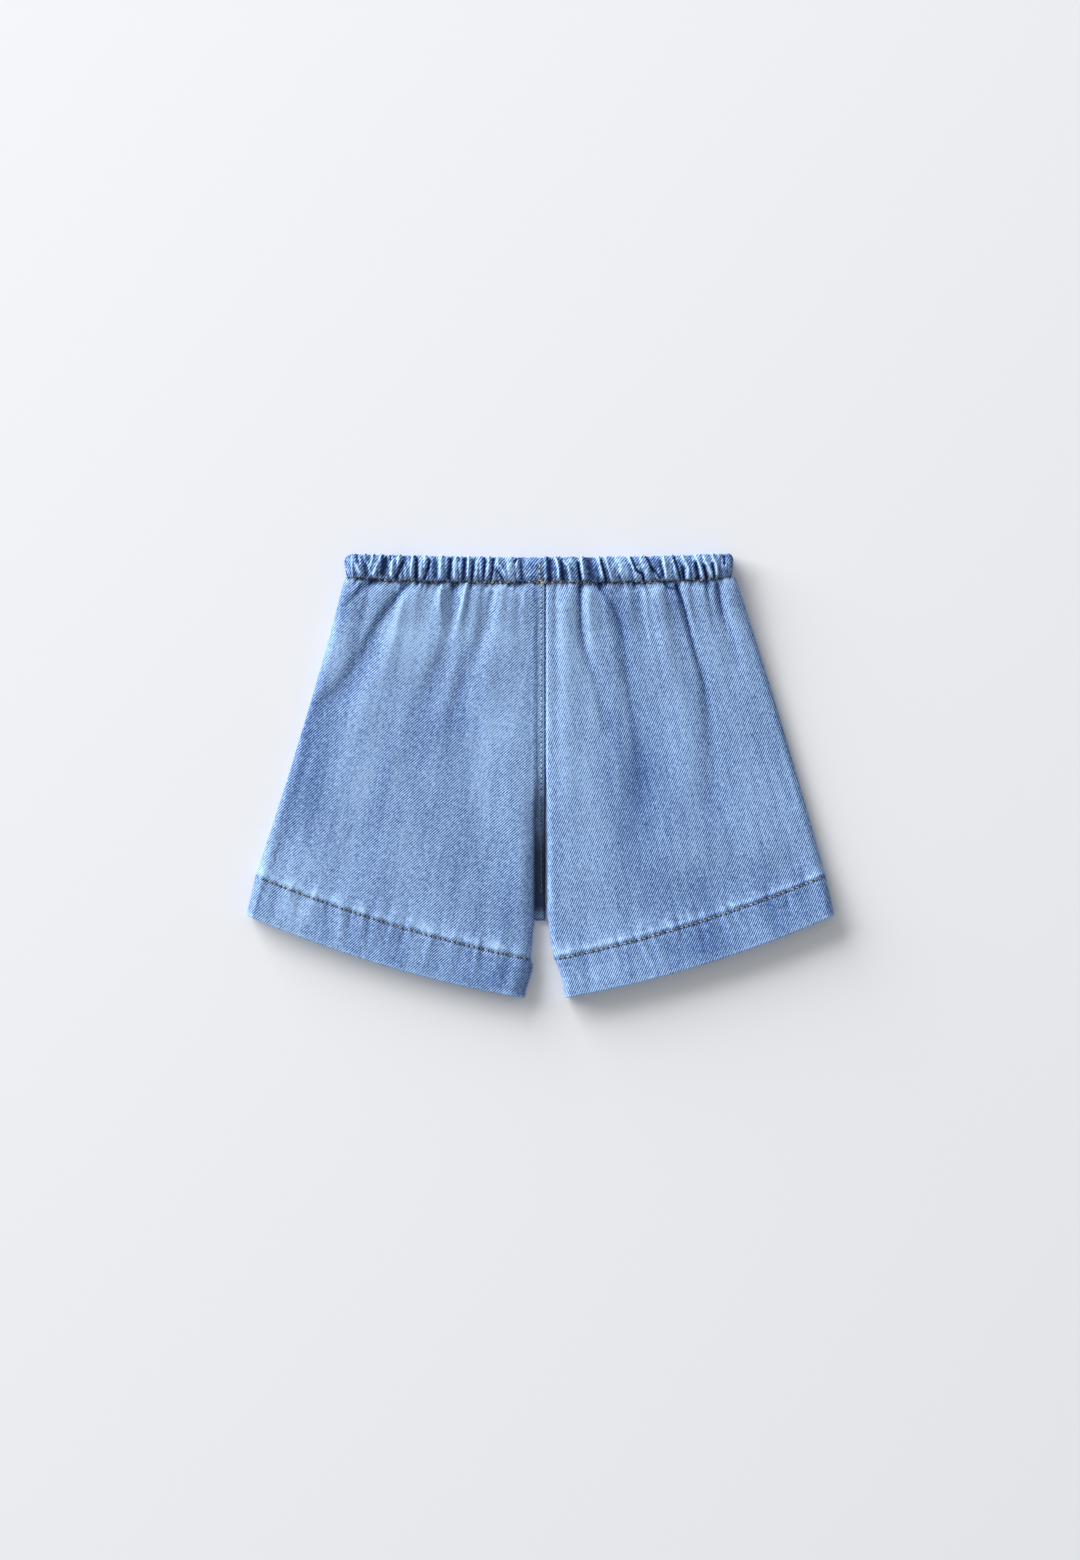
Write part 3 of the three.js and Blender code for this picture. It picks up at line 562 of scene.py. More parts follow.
def makeLeg(side, isFront, folds):
    # One leg's front or back: outer cloth, the hem's fold and the turned-up cloth behind it
    layer = "front" if isFront else "back"
    grid = legGrid[layer]
    a, b, c, d = grid["down"]
    upper, lower = legRows["breaks"]
    radius = lie["hemFold"]
    share = cut["hemShare"] / cut["hemWide"]
    flat = np.concatenate([
        np.linspace(0, upper, a), np.linspace(upper, lower, b)[1:], np.linspace(lower, 1.0, c)[1:],
        1 + share * np.linspace(0, cut["hemWide"] - radius, d)[1:],
    ])
    turn = np.linspace(0, math.pi, legRows["bend"])[1:]
    bend = 1 + share * (cut["hemWide"] - radius + radius * np.sin(turn))
    turnUp = 1 + share * np.linspace(cut["hemWide"] - radius, legRows["turnUpEnd"], legRows["turnUp"])[1:]
    # edges dive under the next piece, so no light shows through a seam
    diveV, diveDrop = zip(*legRows["dive"])
    v = np.concatenate([diveV, flat, bend, turnUp])
    drop = np.concatenate([diveDrop, np.zeros(len(flat)), radius * (1 - np.cos(turn)),
                           np.full(len(turnUp), 2 * radius)])
    s = legSurface(side, isFront, v, grid, folds)
    normal = surfaceNormals(side, isFront, v, grid, folds)
    points = surfacePoints(s) - normal * drop[:, None, None]
    rim = points[:, :1].copy()
    rim[..., 0] += (legRows["rim"] if side == "left" else -legRows["rim"])
    points = np.concatenate([rim, points], axis=1)
    for key in ("fold", "inside", "fromStitch"):
        s[key] = np.concatenate([s[key][:, :1], s[key]], axis=1)
    isFloor = np.concatenate([[False], s["isFloor"]])
    rows, columns = points.shape[:2]
    floorStart = int(np.argmax(isFloor)) if isFloor.any() else columns
    crotchRow = int(np.argmax(s["innerY"] < cut["crotchY"]))
    faces = gridFaces(rows, columns, lambda i, j: (j < floorStart - 1) | (i < crotchRow))
    along = followRoll(side, points, s["inside"])
    wear, shade = legWear(isFront, s, points)
    piece = makeMesh(
        f"leg_{layer}_{side}", points.reshape(-1, 3), faces,
        grainCoordinates(side, along, points[..., 1]).reshape(-1, 2),
        {"wear": wear.ravel(), "shade": shade.ravel(), "weave": np.ones(wear.size)},
    )
    dropLoose(piece)
    turnOut(piece, isFront)
    return piece, points, v


def dropLoose(piece):
    # points that no face uses
    work = bmesh.new()
    work.from_mesh(piece.data)
    bmesh.ops.delete(work, geom=[p for p in work.verts if not p.link_faces], context="VERTS")
    work.to_mesh(piece.data)
    work.free()


# Wear and shading is 0 on plain cloth, up to 1 where it is rubbed pale and down to -1 where the dye is kept;
# parts of it are painted highlight on lit ridges and lips, and painted shade in creases, grooves and along
# rolled edges
wearAndShadingSpec = {
    "fold": 0.42,  # per millimetre of fold height: paler on ridges and darker in troughs, partly the wash's fading and partly painted highlight and painted shade
    # painted shade on the legs' rolled outer edges
    "sideEdgeShade": -0.50,
    "hemDark": -0.22,
    "mottle": ((1.0, 26.0, 11), (0.6, 11.0, 12)),
    "mottleWear": 0.16,
    "streaks": ((1.0, 3.6, 61), (0.8, 9.0, 62)),
    "streakWear": 0.24,
    "streakFan": 0.45,
    "valleyShade": 0.97,  # in the dark strip between the legs
    "valleyEnd": 0.45,  # less of it in the last 7 mm
}
# Bands that follow a seam or an edge: (wear, its middle, its reach), in mm from that seam; some are painted
# highlight and painted shade, as noted
wearAndShadingBands = {
    "hemEdge": (1.0, cut["hemWide"], 1.8),
    "aboveStitch": (0.75, -4.0, 3.1),
    # painted shade in the groove of the hem's stitches
    "stitch": (-1.1, 0, 0.8),
    "teeth": (0.75, 0, 4.5),  # painted highlight on the gathers' ridges and painted shade in their troughs, right under the casing
    # painted highlight: the pale lip just under the stitch line
    "waistLip": (0.45, 1.7, 1.1),
    "flecks": (1.15, 0.6, 2.3),
    "waistShade": (0.5, 0, 0.45),
    "notches": (0.35, 0, 1.3),
    # painted shade in the centre seam's groove
    "seam": (-1.6, 0, 0.5),
    "rightLip": (1.3, 1.4, 0.4),  # painted highlights: pale edges along the centre seam
    "leftLip": (1.3, -0.95, 0.35),
    "beside": (-0.45, -3.6, 2.2),  # painted shade: a dark strip left of the centre stitches, from x = 0
}


# Broad places on the front painted lighter or darker: painted light and painted shade
lightAndShadePatches = makeTable("at size wear", [
    ((-92, 92), (24, 28), 0.60),
    ((-127, 70), (8, 26), 0.62),
    ((-48, 98), (36, 24), 0.56),
    ((-138, -4), (13, 34), -0.62),
    ((-30, 10), (14, 55), 0.22),
    ((-155, -50), (16, 22), 0.25),
    ((-60, -50), (30, 30), -0.12),
    ((-20, -88), (18, 28), -0.42),
    ((-152, -84), (14, 9), 0.55),
    ((-24, -122), (14, 10), -0.45),
    ((20, 62), (14, 70), 0.54),
    ((112, 80), (14, 30), 0.28),
    ((72, 5), (22, 60), -0.24),
    ((22, -70), (12, 36), 0.22),
    ((78, -70), (40, 20), -0.36),
    ((34, -124), (14, 9), 0.30),
    ((92, -105), (28, 10), -0.50),
    ((150, -66), (20, 26), -0.40),
])


def band(name, far):
    wear, middle, reach = wearAndShadingBands[name]
    return wear * bell(far - middle, reach)


def legWear(isFront, s, points):
    # wear, painted highlight and painted shade of a leg's points
    x, y = points[..., 0], points[..., 1]
    hem = s["fromStitch"]
    wear = wearAndShadingSpec["fold"] * s["fold"] + band("hemEdge", hem)
    wear += wearAndShadingSpec["hemDark"] * smoothStep((hem + 1) / 2)
    rubbed = 0.6 + 0.6 * softNoise(x, y, 7.0, 8) + 0.5 * softNoise(x + 0.6 * y, y, 2.4, 9)
    wear += band("aboveStitch", hem) * rubbed
    wear += wearAndShadingSpec["sideEdgeShade"] * (1 - s["inside"] ** 2) * (np.abs(x) > 60)
    wear += wearAndShadingSpec["mottleWear"] * noises(wearAndShadingSpec["mottle"], x, y) + band("stitch", hem)
    belowWaist = waistSeamY(x) - y
    under = np.maximum(belowWaist, 0)
    wear += band("waistLip", belowWaist) * (0.7 + 0.7 * softNoise(x, y, 2.6, 14))
    # painted shade: a dark line along the stitch line, and dark notches in the gathers' troughs under it
    notches = np.clip(-s["fold"] - 0.9, 0, 1) * band("notches", under)
    shade = (band("waistShade", under) + notches) * (1 + 1.5 * softNoise(x, 0 * y, 1.4, 75))
    shade = np.maximum(0, shade)
    if not isFront:
        return wear, shade
    # soft streaks that fan out from the gathers down to the hem
    fanX = x / (1 + wearAndShadingSpec["streakFan"] * (cut["waistSeamAtSide"] - y) / cut["legLong"])
    wear += wearAndShadingSpec["streakWear"] * noises(wearAndShadingSpec["streaks"], fanX, 0.1 * y)
    wear += band("teeth", under) * (s["fold"] + 0.35)
    wear += band("flecks", belowWaist) * softNoise(x, 0.35 * y, 1.6, 76)
    # painted shade along the creases
    for crease in creases:
        wide = crease["wide"]
        wear += foldAt({"path": crease["path"], "width": [(wide, wide)] * 2, "height": crease["dark"]}, x, y)
    # painted light and painted shade in broad patches
    for patch in lightAndShadePatches:
        (px, py), (wide, tall) = patch["at"], patch["size"]
        wear += patch["wear"] * bell(x - px, wide) * bell(y - py, tall)
    toFloor = readTable(seamHeight, "y", y, "toFloor")
    nearSeam = np.where(x < 0, smoothStep((x + 5.5) / 2.5), smoothStep((5.5 - x) / 2.5))
    lastEdge = wearAndShadingSpec["valleyEnd"] * smoothStep((cut["crotchY"] + 7 - y) / 7)
    valley = nearSeam * toFloor * (y > cut["crotchY"] - 4) * (wearAndShadingSpec["valleyShade"] - lastEdge)
    aboveCrotch = y > cut["crotchY"]
    fromSeam = x - cut["seamX"]
    # painted highlight on the seam's lips and painted shade in its groove and beside it
    pressed = band("rightLip", fromSeam) + band("leftLip", fromSeam)
    pressed += band("beside", x) * smoothStep((y + 5) / 90)
    wear += (band("seam", fromSeam) + (1 - toFloor) * pressed) * aboveCrotch
    return wear, np.clip(shade + valley, 0, 1)


# The gathered casing
casing = {
    "line": 2.75,  # from the layer plane to the middle of one casing layer
    "half": 2.45,
    "square": 2.6,  # how square the section's rounding is; 2 would be an ellipse
    "nip": 0.45,
    "lean": (0.24, 0.55),  # the crest stands this share of the way to the next trough
    "fall": (0.95, 1.45),  # how full the far side of a pleat is
    "endRise": 1.2,
    "pleatScale": {"front": 0.55, "back": 0.85},
    "tall": 15,  # mm, for the noises
    "wobble": 0.5,
    "markDepth": 1.15,
    "riseLimits": (-2.4, 1.3),
    "dyeLimits": (-1.6, 1.2),
    "cornerDrop": 2.3,  # the ends of the upper edge come down by this
    "cornerFrom": 114.5,
    "rightShort": 2.0,  # the right end stops short of the left one by this
    "rightFrom": 104,
    "rightOver": 17,
    "crumple": ((0.28, 1.5, 71), (0.25, 3.0, 72)),  # small dents
    "footTaper": 1.6,  # the side folds draw in by this at the stitch line
    "scallop": 1.5,  # how far the upper edge follows the creases
    "meanLift": 1.05,
    "notch": 0.55,  # extra depth of a crease
    "notchWide": 0.5,
    "notchAt": (0.12, 0.35),  # up the casing: its middle and its reach, as shares of the height
    "steps": np.linspace(0, 1, 21)[:-1],
    "outerFace": np.concatenate([
        0.5 - 0.5 * np.cos(np.linspace(0, math.pi / 4, 9))[:-1],
        np.linspace(0.1464, 0.8536, 27),
        0.5 - 0.5 * np.cos(np.linspace(3 * math.pi / 4, math.pi, 9))[1:],
    ]),
    "innerFace": np.array([0.985, 0.93, 0.82, 0.65, 0.45, 0.25, 0.1, 0.02]),
    "turnSteps": 14,  # columns round each side
    "weave": 0.9,  # how strongly the twill shows, next to 1 on the legs
    "openWeave": 1.13,  # its ribs lie this much wider apart, where the cloth is bent over the pleats
    "pressedOut": 1.3,
    "pressedRise": 0.45,
}
casingWearAndShading = {
    # paler on the pleats' crests and darker between them: partly wear, partly painted highlight and painted
    # shade
    "pleats": 0.6,
    "marks": 1.75,
    "noises": ((0.45, 1.6, 73), (0.25, 3.0, 21)),
    "base": 0.04,
    # painted shade along the upper edge's roll, which faces the light
    "topEdgeShade": -0.45,
    "topEdgeFrom": 0.78,
    # painted shade on the casing's rounded ends
    "side": -0.6,
    "crease": 0.5,  # this and the next ones are painted shade, darkening the cloth towards near-black: in creases at the foot, along the stitch line, under the darkest marks and in pits of the upper edge
    "bottom": 0.8,
    "deepMark": 0.7,
    "pit": 0.6,
    "most": 0.94,
}
pleatWeight = makeTable("a w", [
    (0.00, 0.25), (0.06, 0.60), (0.15, 0.85), (0.50, 1.00), (0.84, 0.92), (0.96, 0.70), (1.00, 0.45),
])


# Creases and crests of the front casing, left to right. x, then height above the stitch line; wide is the
# (left, right) reach, rise is above the cloth round it, and the last column is below 0 where the cloth is
# darker, partly indigo that stayed dark and partly painted shade on creases and facets, and above 0 where it
# is paler, partly rubbed and partly a painted highlight on the crests.
casingMarks = makeTable("path wide rise dye", [
    ([(-115.6, 10.9), (-111.3, 3.1)], (0.9, 0.8), 0.9, 0.6),
    ([(-113.8, 14.1), (-112.8, 9.8)], (0.9, 0.9), -1.5, -0.6),
    ([(-108.2, 11.9), (-107.6, 2.7)], (1.5, 1.9), -1.5, -1.1),
    ([(-108.8, 15), (-104.5, 2.8)], (0.7, 0.7), 0.9, 0.7),
    ([(-103.2, 15.9), (-105.1, 7.8)], (0.7, 0.8), 0.9, 0.6),
    ([(-98.3, 14.9), (-103.2, 2.3)], (0.9, 0.7), 1.0, 0.8),
    ([(-96.4, 11.9), (-97.7, 3.8)], (2.4, 2.8), -1.8, -1.3),
    ([(-92.7, 15.2), (-92.7, 12.1)], (0.5, 0.5), -1.6, -0.9),
    ([(-91.5, 11.5), (-92.1, 2.2)], (1.0, 1.0), 1.0, 0.6),
    ([(-87.1, 15.4), (-88.3, 11)], (0.9, 0.9), 0.8, 0.5),
    ([(-85.9, 11.7), (-89, 2.3)], (1.0, 1.7), -1.9, -1.4),
    ([(-84, 16.1), (-82.8, 9.3)], (0.9, 1.1), -1.1, -0.6),
    ([(-79, 15.6), (-80.3, 2.6)], (0.9, 0.8), 1.1, 0.8),
    ([(-76.6, 13.2), (-77.2, 2)], (1.2, 1.3), -2.0, -1.3),
    ([(-72.2, 15.2), (-74.1, 3.4)], (1.8, 1.6), 0.7, 0.5),
    ([(-68.5, 13.4), (-71.6, 1.6)], (1.0, 1.0), -2.0, -1.3),
    ([(-64.8, 13.5), (-65.4, 3.6)], (1.8, 1.8), -0.9, -0.8),
    ([(-61.1, 16), (-61.7, 3)], (1.4, 1.7), 0.9, 0.6),
    ([(-55.5, 14.9), (-56.7, 1.9)], (1.6, 1.5), -2.0, -1.4),
    ([(-51.8, 15.6), (-53, 3.1)], (1.6, 1.8), 0.8, 0.6),
    ([(-49.9, 16.8), (-49.9, 12.5)], (0.8, 0.8), -1.3, -0.6),
    ([(-46.8, 15), (-48, 2)], (1.2, 1.3), -2.0, -1.4),
    ([(-44.3, 16.3), (-45, 3.2)], (0.7, 0.8), 1.1, 0.8),
    ([(-41.2, 13.8), (-42.5, 1.4)], (0.9, 1.2), -1.8, -1.2),
    ([(-38.1, 15.7), (-39.4, 2)], (1.2, 1.3), 0.7, 0.4),
    ([(-34.4, 13.9), (-35.6, 1.4)], (0.8, 1.1), -1.7, -1.1),
    ([(-31.9, 15.7), (-33.2, 2.1)], (0.9, 0.8), 0.8, 0.5),
    ([(-28.8, 14.5), (-30.7, 1.5)], (1.1, 1.0), -1.8, -1.2),
    ([(-26.4, 16.4), (-27.6, 8.9)], (1.0, 1.6), 0.7, 0.5),
    ([(-24.5, 9.6), (-19.5, 1.5)], (0.5, 0.5), 0.9, 0.8),
    ([(-25.7, 5.8), (-22.6, 1.5)], (1.4, 0.6), -1.5, -1.1),
    ([(-18.3, 16.4), (-17.7, 7.7)], (2.4, 2.2), 0.4, 0.4),
    ([(-14.6, 16.4), (-15.8, 12.1)], (0.6, 0.6), -1.8, -1.2),
    ([(-12.1, 15.2), (-11.5, 2.1)], (1.6, 1.2), -1.4, -1.0),
    ([(-4.8, 13), (-4.8, 2)], (2.6, 2.4), 0.0, -0.4),
    ([(10, 7.5), (40, 7.5)], (9, 9), 0.0, -0.25),
    ([(5.6, 13.9), (5.9, 2.1)], (1.7, 1.8), -1.9, -1.5),
    ([(5.9, 16.4), (10.5, 12.1), (11.5, 2.8)], (0.6, 0.7), 1.0, 0.7),
    ([(13, 13.9), (13.9, 2.1)], (1.4, 1.3), -1.8, -1.4),
    ([(11.5, 15.8), (17.1, 9), (18.9, 0.9)], (0.7, 0.8), 1.1, 0.8),
    ([(19.5, 15.1), (21.4, 7.7)], (1.7, 1.7), 0.4, 0.1),
    ([(23.2, 12), (25.1, 1.5)], (0.9, 0.8), -2.0, -1.4),
    ([(25.1, 15.8), (27, 2.7)], (1.0, 1.0), 1.0, 0.8),
    ([(30.1, 14.5), (32.5, 2.1)], (2.6, 2.6), -1.3, -0.9),
    ([(35.6, 15.7), (38.8, 2.7)], (1.0, 0.6), 1.0, 0.8),
    ([(37.5, 13.2), (40.6, 0.8)], (0.7, 0.8), -2.0, -1.4),
    ([(40, 15.1), (44.3, 1.4)], (0.7, 1.0), 1.0, 0.8),
    ([(48, 15), (51.1, 5)], (3.0, 3.2), 0.5, 0.5),
    ([(49.3, 3.8), (50.5, 0.7)], (0.8, 0.8), -1.2, -0.8),
    ([(54.2, 16.1), (58, 6.8)], (0.8, 0.7), 0.9, 0.8),
    ([(56.1, 15.5), (59.2, 7.4), (62.9, 4.8), (64.2, 0.5)], (0.7, 0.9), -1.9, -1.3),
    ([(61.7, 15.4), (63.5, 9.2)], (1.3, 1.6), 0.6, 0.3),
    ([(66, 15.3), (69.1, 7.8), (74.1, 1.5)], (0.7, 0.9), -1.9, -1.3),
    ([(69.8, 13.4), (71.6, 6.5)], (1.6, 1.8), -1.0, -0.9),
    ([(76, 14.5), (78.4, 1.4)], (0.9, 1.0), 1.0, 0.7),
    ([(74.1, 12), (76, 3.3)], (1.2, 0.9), -1.3, -1.0),
    ([(82.8, 14.9), (85.2, 6.1), (86.5, 1.1)], (0.9, 0.8), -1.9, -1.3),
    ([(87.7, 14.7), (91.5, 7.8), (91.5, 0.9)], (0.8, 0.7), 1.0, 0.8),
    ([(88.3, 7.9), (89, 1)], (1.5, 1.2), -1.7, -1.2),
    ([(92.7, 15.2), (93.9, 10.1)], (0.9, 0.9), -1.1, -0.6),
    ([(95.8, 14.4), (98.9, 7.4), (100.8, 1.2)], (0.7, 0.7), 1.1, 0.9),
    ([(96.4, 9.4), (97.7, 0.7)], (1.5, 1.1), -1.8, -1.3),
    ([(100.8, 14.2), (105.1, 5.3), (106.3, 0.9)], (0.7, 0.7), 1.1, 0.9),
    ([(101.4, 8.6), (103.2, 0.4)], (1.3, 1.0), -1.8, -1.3),
    ([(106.3, 14.5), (109.4, 8.1), (110, 2.5)], (0.7, 0.8), 1.0, 0.9),
    ([(107, 8.9), (108.2, 1.4)], (1.2, 0.9), -1.6, -1.2),
    ([(112.5, 11.7), (113.2, 1.7)], (1.3, 1.3), -0.8, -0.5),
    ([(115.6, 14), (115.6, 9)], (1.2, 1.2), -1.6, -0.9),
])


def pleatShape(p, lean, fall):
    rising = math.sin(min(1, p / lean) * math.pi / 2) ** 0.9
    q = min(1, max(0, (p - lean) / (1 - lean)))
    return rising if p < lean else 1 - q ** fall


def casingColumns(pleats):
    # each column's x at the upper edge and at the foot, its pleat lift, and its turn round the side
    end = cut["waistHalf"] - casing["line"] - casing["half"]
    chance = np.random.default_rng(29)
    edges = [(p["top"] - pleatStart, p["foot"] - pleatStart, p["rise"]) for p in pleats]
    edges = [(-end, -end, casing["endRise"]), *edges, (end, end, casing["endRise"])]
    columns = []
    for (topA, footA, rise), (topB, footB, _) in zip(edges, edges[1:]):
        lean, fall = chance.uniform(*casing["lean"]), chance.uniform(*casing["fall"])
        for p in casing["steps"]:
            columns.append((mix(topA, topB, p), mix(footA, footB, p), rise * pleatShape(p, lean, fall),
                            min(p, 1 - p) * abs(topB - topA)))
    count = casing["turnSteps"]
    turn = np.linspace(0, math.pi / 2, count)
    ripple = 0.6 + 0.6 * np.cos(np.linspace(0, 4.5 * math.pi, count))
    ends = [np.stack([np.full(count, x), np.full(count, x), high, np.full(count, 3.0)], axis=-1)
            for x, high in ((-end, ripple[::-1]), (end, ripple))]
    columns = np.concatenate([ends[0], columns, ends[1]])
    around = np.concatenate([-turn[::-1], np.zeros(len(columns) - 2 * count), turn])
    return (*columns.T, around)


def makeCasing(isFront, pleats):
    layer = "front" if isFront else "back"
    pleatScale = casing["pleatScale"][layer]
    top, foot, lift, gap, around = (a[:, None] for a in casingColumns(pleats))
    # a is the share of the height, up the outer face and down again inside
    a = np.concatenate([casing["outerFace"], casing["innerFace"]])[None, :]
    isOuter = np.arange(a.size)[None, :] < len(casing["outerFace"])
    out = np.where(isOuter, 1, -1) * np.sqrt(np.maximum(0, 1 - np.abs(2 * a - 1) ** casing["square"]))
    weight = np.where(isOuter, readTable(pleatWeight, "a", a, "w"), 0.0)
    if not isFront:
        out = np.where(out > 0, np.minimum(1, out * casing["pressedOut"]), out)
    turned = np.abs(around)
    beyond = np.sign(around)
    half = casing["half"] - np.where(out < 0, casing["nip"] * np.sin(turned), 0)
    rise = (lift - casing["meanLift"]) * pleatScale + (0 if isFront else casing["pressedRise"])
    notchAt, notchTall = casing["notchAt"]
    notch = casing["notch"] * bell(gap, casing["notchWide"]) * bell(a - notchAt, notchTall)
    rise = weight * (rise - notch * pleatScale)
    flatX = mix(foot, top, a)
    high = a * casing["tall"] + 0 * foot
    flatX = flatX + casing["wobble"] * softNoise(flatX, high, 5.0, 31) * (turned == 0)
    marked, dye = np.zeros_like(flatX), np.zeros_like(flatX)
    if isFront:
        alongX = flatX + beyond * (casing["line"] + casing["half"]) * np.sin(turned)
        above = (casingTopY(flatX) - waistSeamY(flatX)) * a
        for mark in casingMarks:
            form = {"path": mark["path"], "width": [mark["wide"]] * 2, "height": (1, 1)}
            share = foldAt(form, alongX, above)
            marked += mark["rise"] * share
            dye += mark["dye"] * share
    marked = casing["markDepth"] * np.clip(marked, *casing["riseLimits"])
    dye = np.clip(dye, *casing["dyeLimits"])
    rise = rise + (marked + noises(casing["crumple"], flatX, high) * np.cos(turned)) * weight
    far = casing["line"] + half * out + rise
    z = np.maximum(0.05, far * np.cos(turned))
    if not isFront:
        z = np.minimum(z, lie["layerPlane"])
    x = flatX + beyond * far * np.sin(turned)
    x = x - casing["rightShort"] * smoothStep((x - casing["rightFrom"]) / casing["rightOver"])
    nearEnd = smoothStep((np.abs(x) - casing["cornerFrom"]) / (cut["waistHalf"] - casing["cornerFrom"]))
    topY = casingTopY(x) - casing["cornerDrop"] * nearEnd ** 2.5
    x = x - np.sign(x) * casing["footTaper"] * nearEnd * (1 - a) ** 2
    scallop = casing["scallop"] * np.clip(rise, -1.5, 0.5) * smoothStep((a - 0.8) / 0.2)
    y = mix(waistSeamY(x), topY, a) + scallop
    z = lie["layerPlane"] + z * (1 if isFront else -1)
    points = np.stack([x, y, z], axis=-1)
    faces = gridFaces(*points.shape[:2], closed=True)
    # the weave runs along the casing's even form, so it stays as wide in the pleats as on the legs
    tall = cut["casingTopAtSide"] - cut["waistSeamAtSide"]
    length = np.cumsum(np.hypot(tall * np.diff(a[0], prepend=0),
                                casing["half"] * np.diff(out[0], prepend=out[0, 0])))
    weaveX = flatX + beyond * turned * (casing["line"] + casing["half"])
    uvs = np.stack(np.broadcast_arrays(weaveX, length[None, :]), axis=-1) / casing["openWeave"]
    wear = casingWearAndShading["pleats"] * (lift - casing["meanLift"]) * weight * pleatScale
    wear = wear + casingWearAndShading["marks"] * dye + noises(casingWearAndShading["noises"], x, y) + casingWearAndShading["base"]
    wear += casingWearAndShading["topEdgeShade"] * smoothStep((a - casingWearAndShading["topEdgeFrom"]) / 0.2)
    wear += casingWearAndShading["side"] * np.sin(turned)
    # painted shade in creases, along the stitch line, under dark marks and in the upper edge's pits
    crease = bell(gap, 0.7) * bell(a, 0.3)
    bottom = bell(a, 0.035) * (0.85 + 1.4 * softNoise(x, y, 1.5, 74))
    deepMark = smoothStep((-dye - 0.55) / 0.7) * bell(a, 0.6)
    pit = smoothStep((-rise - 0.5) / 0.8) * bell(a - 0.94, 0.1)
    parts = (("crease", crease), ("bottom", bottom), ("deepMark", deepMark), ("pit", pit))
    shade = np.clip(sum(casingWearAndShading[key] * part for key, part in parts), 0, casingWearAndShading["most"]) * isOuter
    piece = makeMesh(
        f"casing_{layer}", points.reshape(-1, 3), faces, uvs.reshape(-1, 2),
        {"wear": wear.ravel(), "shade": shade.ravel(), "weave": np.full(wear.size, casing["weave"])},
    )
    turnOutClosed(piece)
    return piece, points


def turnOutClosed(piece):
    # faces past the middle of the casing's height have to look away from it
    polygons = piece.data.polygons
    normals, centres = np.zeros(3 * len(polygons)), np.zeros(3 * len(polygons))
    polygons.foreach_get("normal", normals)
    polygons.foreach_get("center", centres)
    middleY = mix(cut["waistSeamAtSide"], cut["casingTopAtSide"], 0.5) * 0.001
    if (normals[1::3] * (centres[1::3] - middleY)).sum() < 0:
        piece.data.flip_normals()


backPleats = {"count": 38, "ends": (-112, 110), "uneven": 1.3, "lean": 0.8, "rise": 1.2, "riseVary": 0.4}


def makeBackPleats():
    # pressed flat by the ground, so they are even and low
    made = []
    last = backPleats["count"] - 1
    for i in range(last + 1):
        x = mix(*backPleats["ends"], i / last) + backPleats["uneven"] * math.sin(i * 2.1)
        made.append({"top": x + backPleats["lean"] * math.sin(i * 1.3), "foot": x,
                     "rise": backPleats["rise"] + backPleats["riseVary"] * math.sin(i * 0.9)})
    return made


# Sewing
thread = {
    "pitch": 3.5,
    "radius": 0.30,
    "sides": 6,
    "steps": 7,  # points a stitch, with the gap after it
    "lift": 0.05,
    "bow": 0.6,  # the middle of a stitch stands above its ends, in radii
    "sunk": -0.12,
    "tip": 0.35,  # radius at the ends, as a share
    "hole": (0.6, 0.42),  # half length and half width of the needle's hole
    "holeDeep": 0.3,
    "tintVary": (0.75, 1.2),
    "radiusVary": (0.9, 1.1),
    "sway": 0.12,
}
tint = {
    "gold": (0.60, 0.54, 0.32),
    # painted shade: near-black stitches between the gold ones, as thread deep in shade
    "goldInShade": (0.08, 0.075, 0.06),
    # painted shade: thread sunk in the gathers
    "sunk": (0.32, 0.29, 0.19),
    "khaki": (0.17, 0.19, 0.175),
    "grey": (0.36, 0.40, 0.38),
    "pale": (0.50, 0.56, 0.60),
    # painted shade: near-black for the needle holes and for thread deep in the gathers
    "pit": (0.012, 0.02, 0.045),
}
tint["inShadow"] = tuple(0.14 * c for c in tint["pale"])


def resample(path, step):
    far = np.concatenate([[0], np.cumsum(np.linalg.norm(np.diff(path, axis=0), axis=-1))])
    at = np.arange(0, far[-1], step)
    return np.stack([np.interp(at, far, path[:, k]) for k in range(3)], axis=-1)


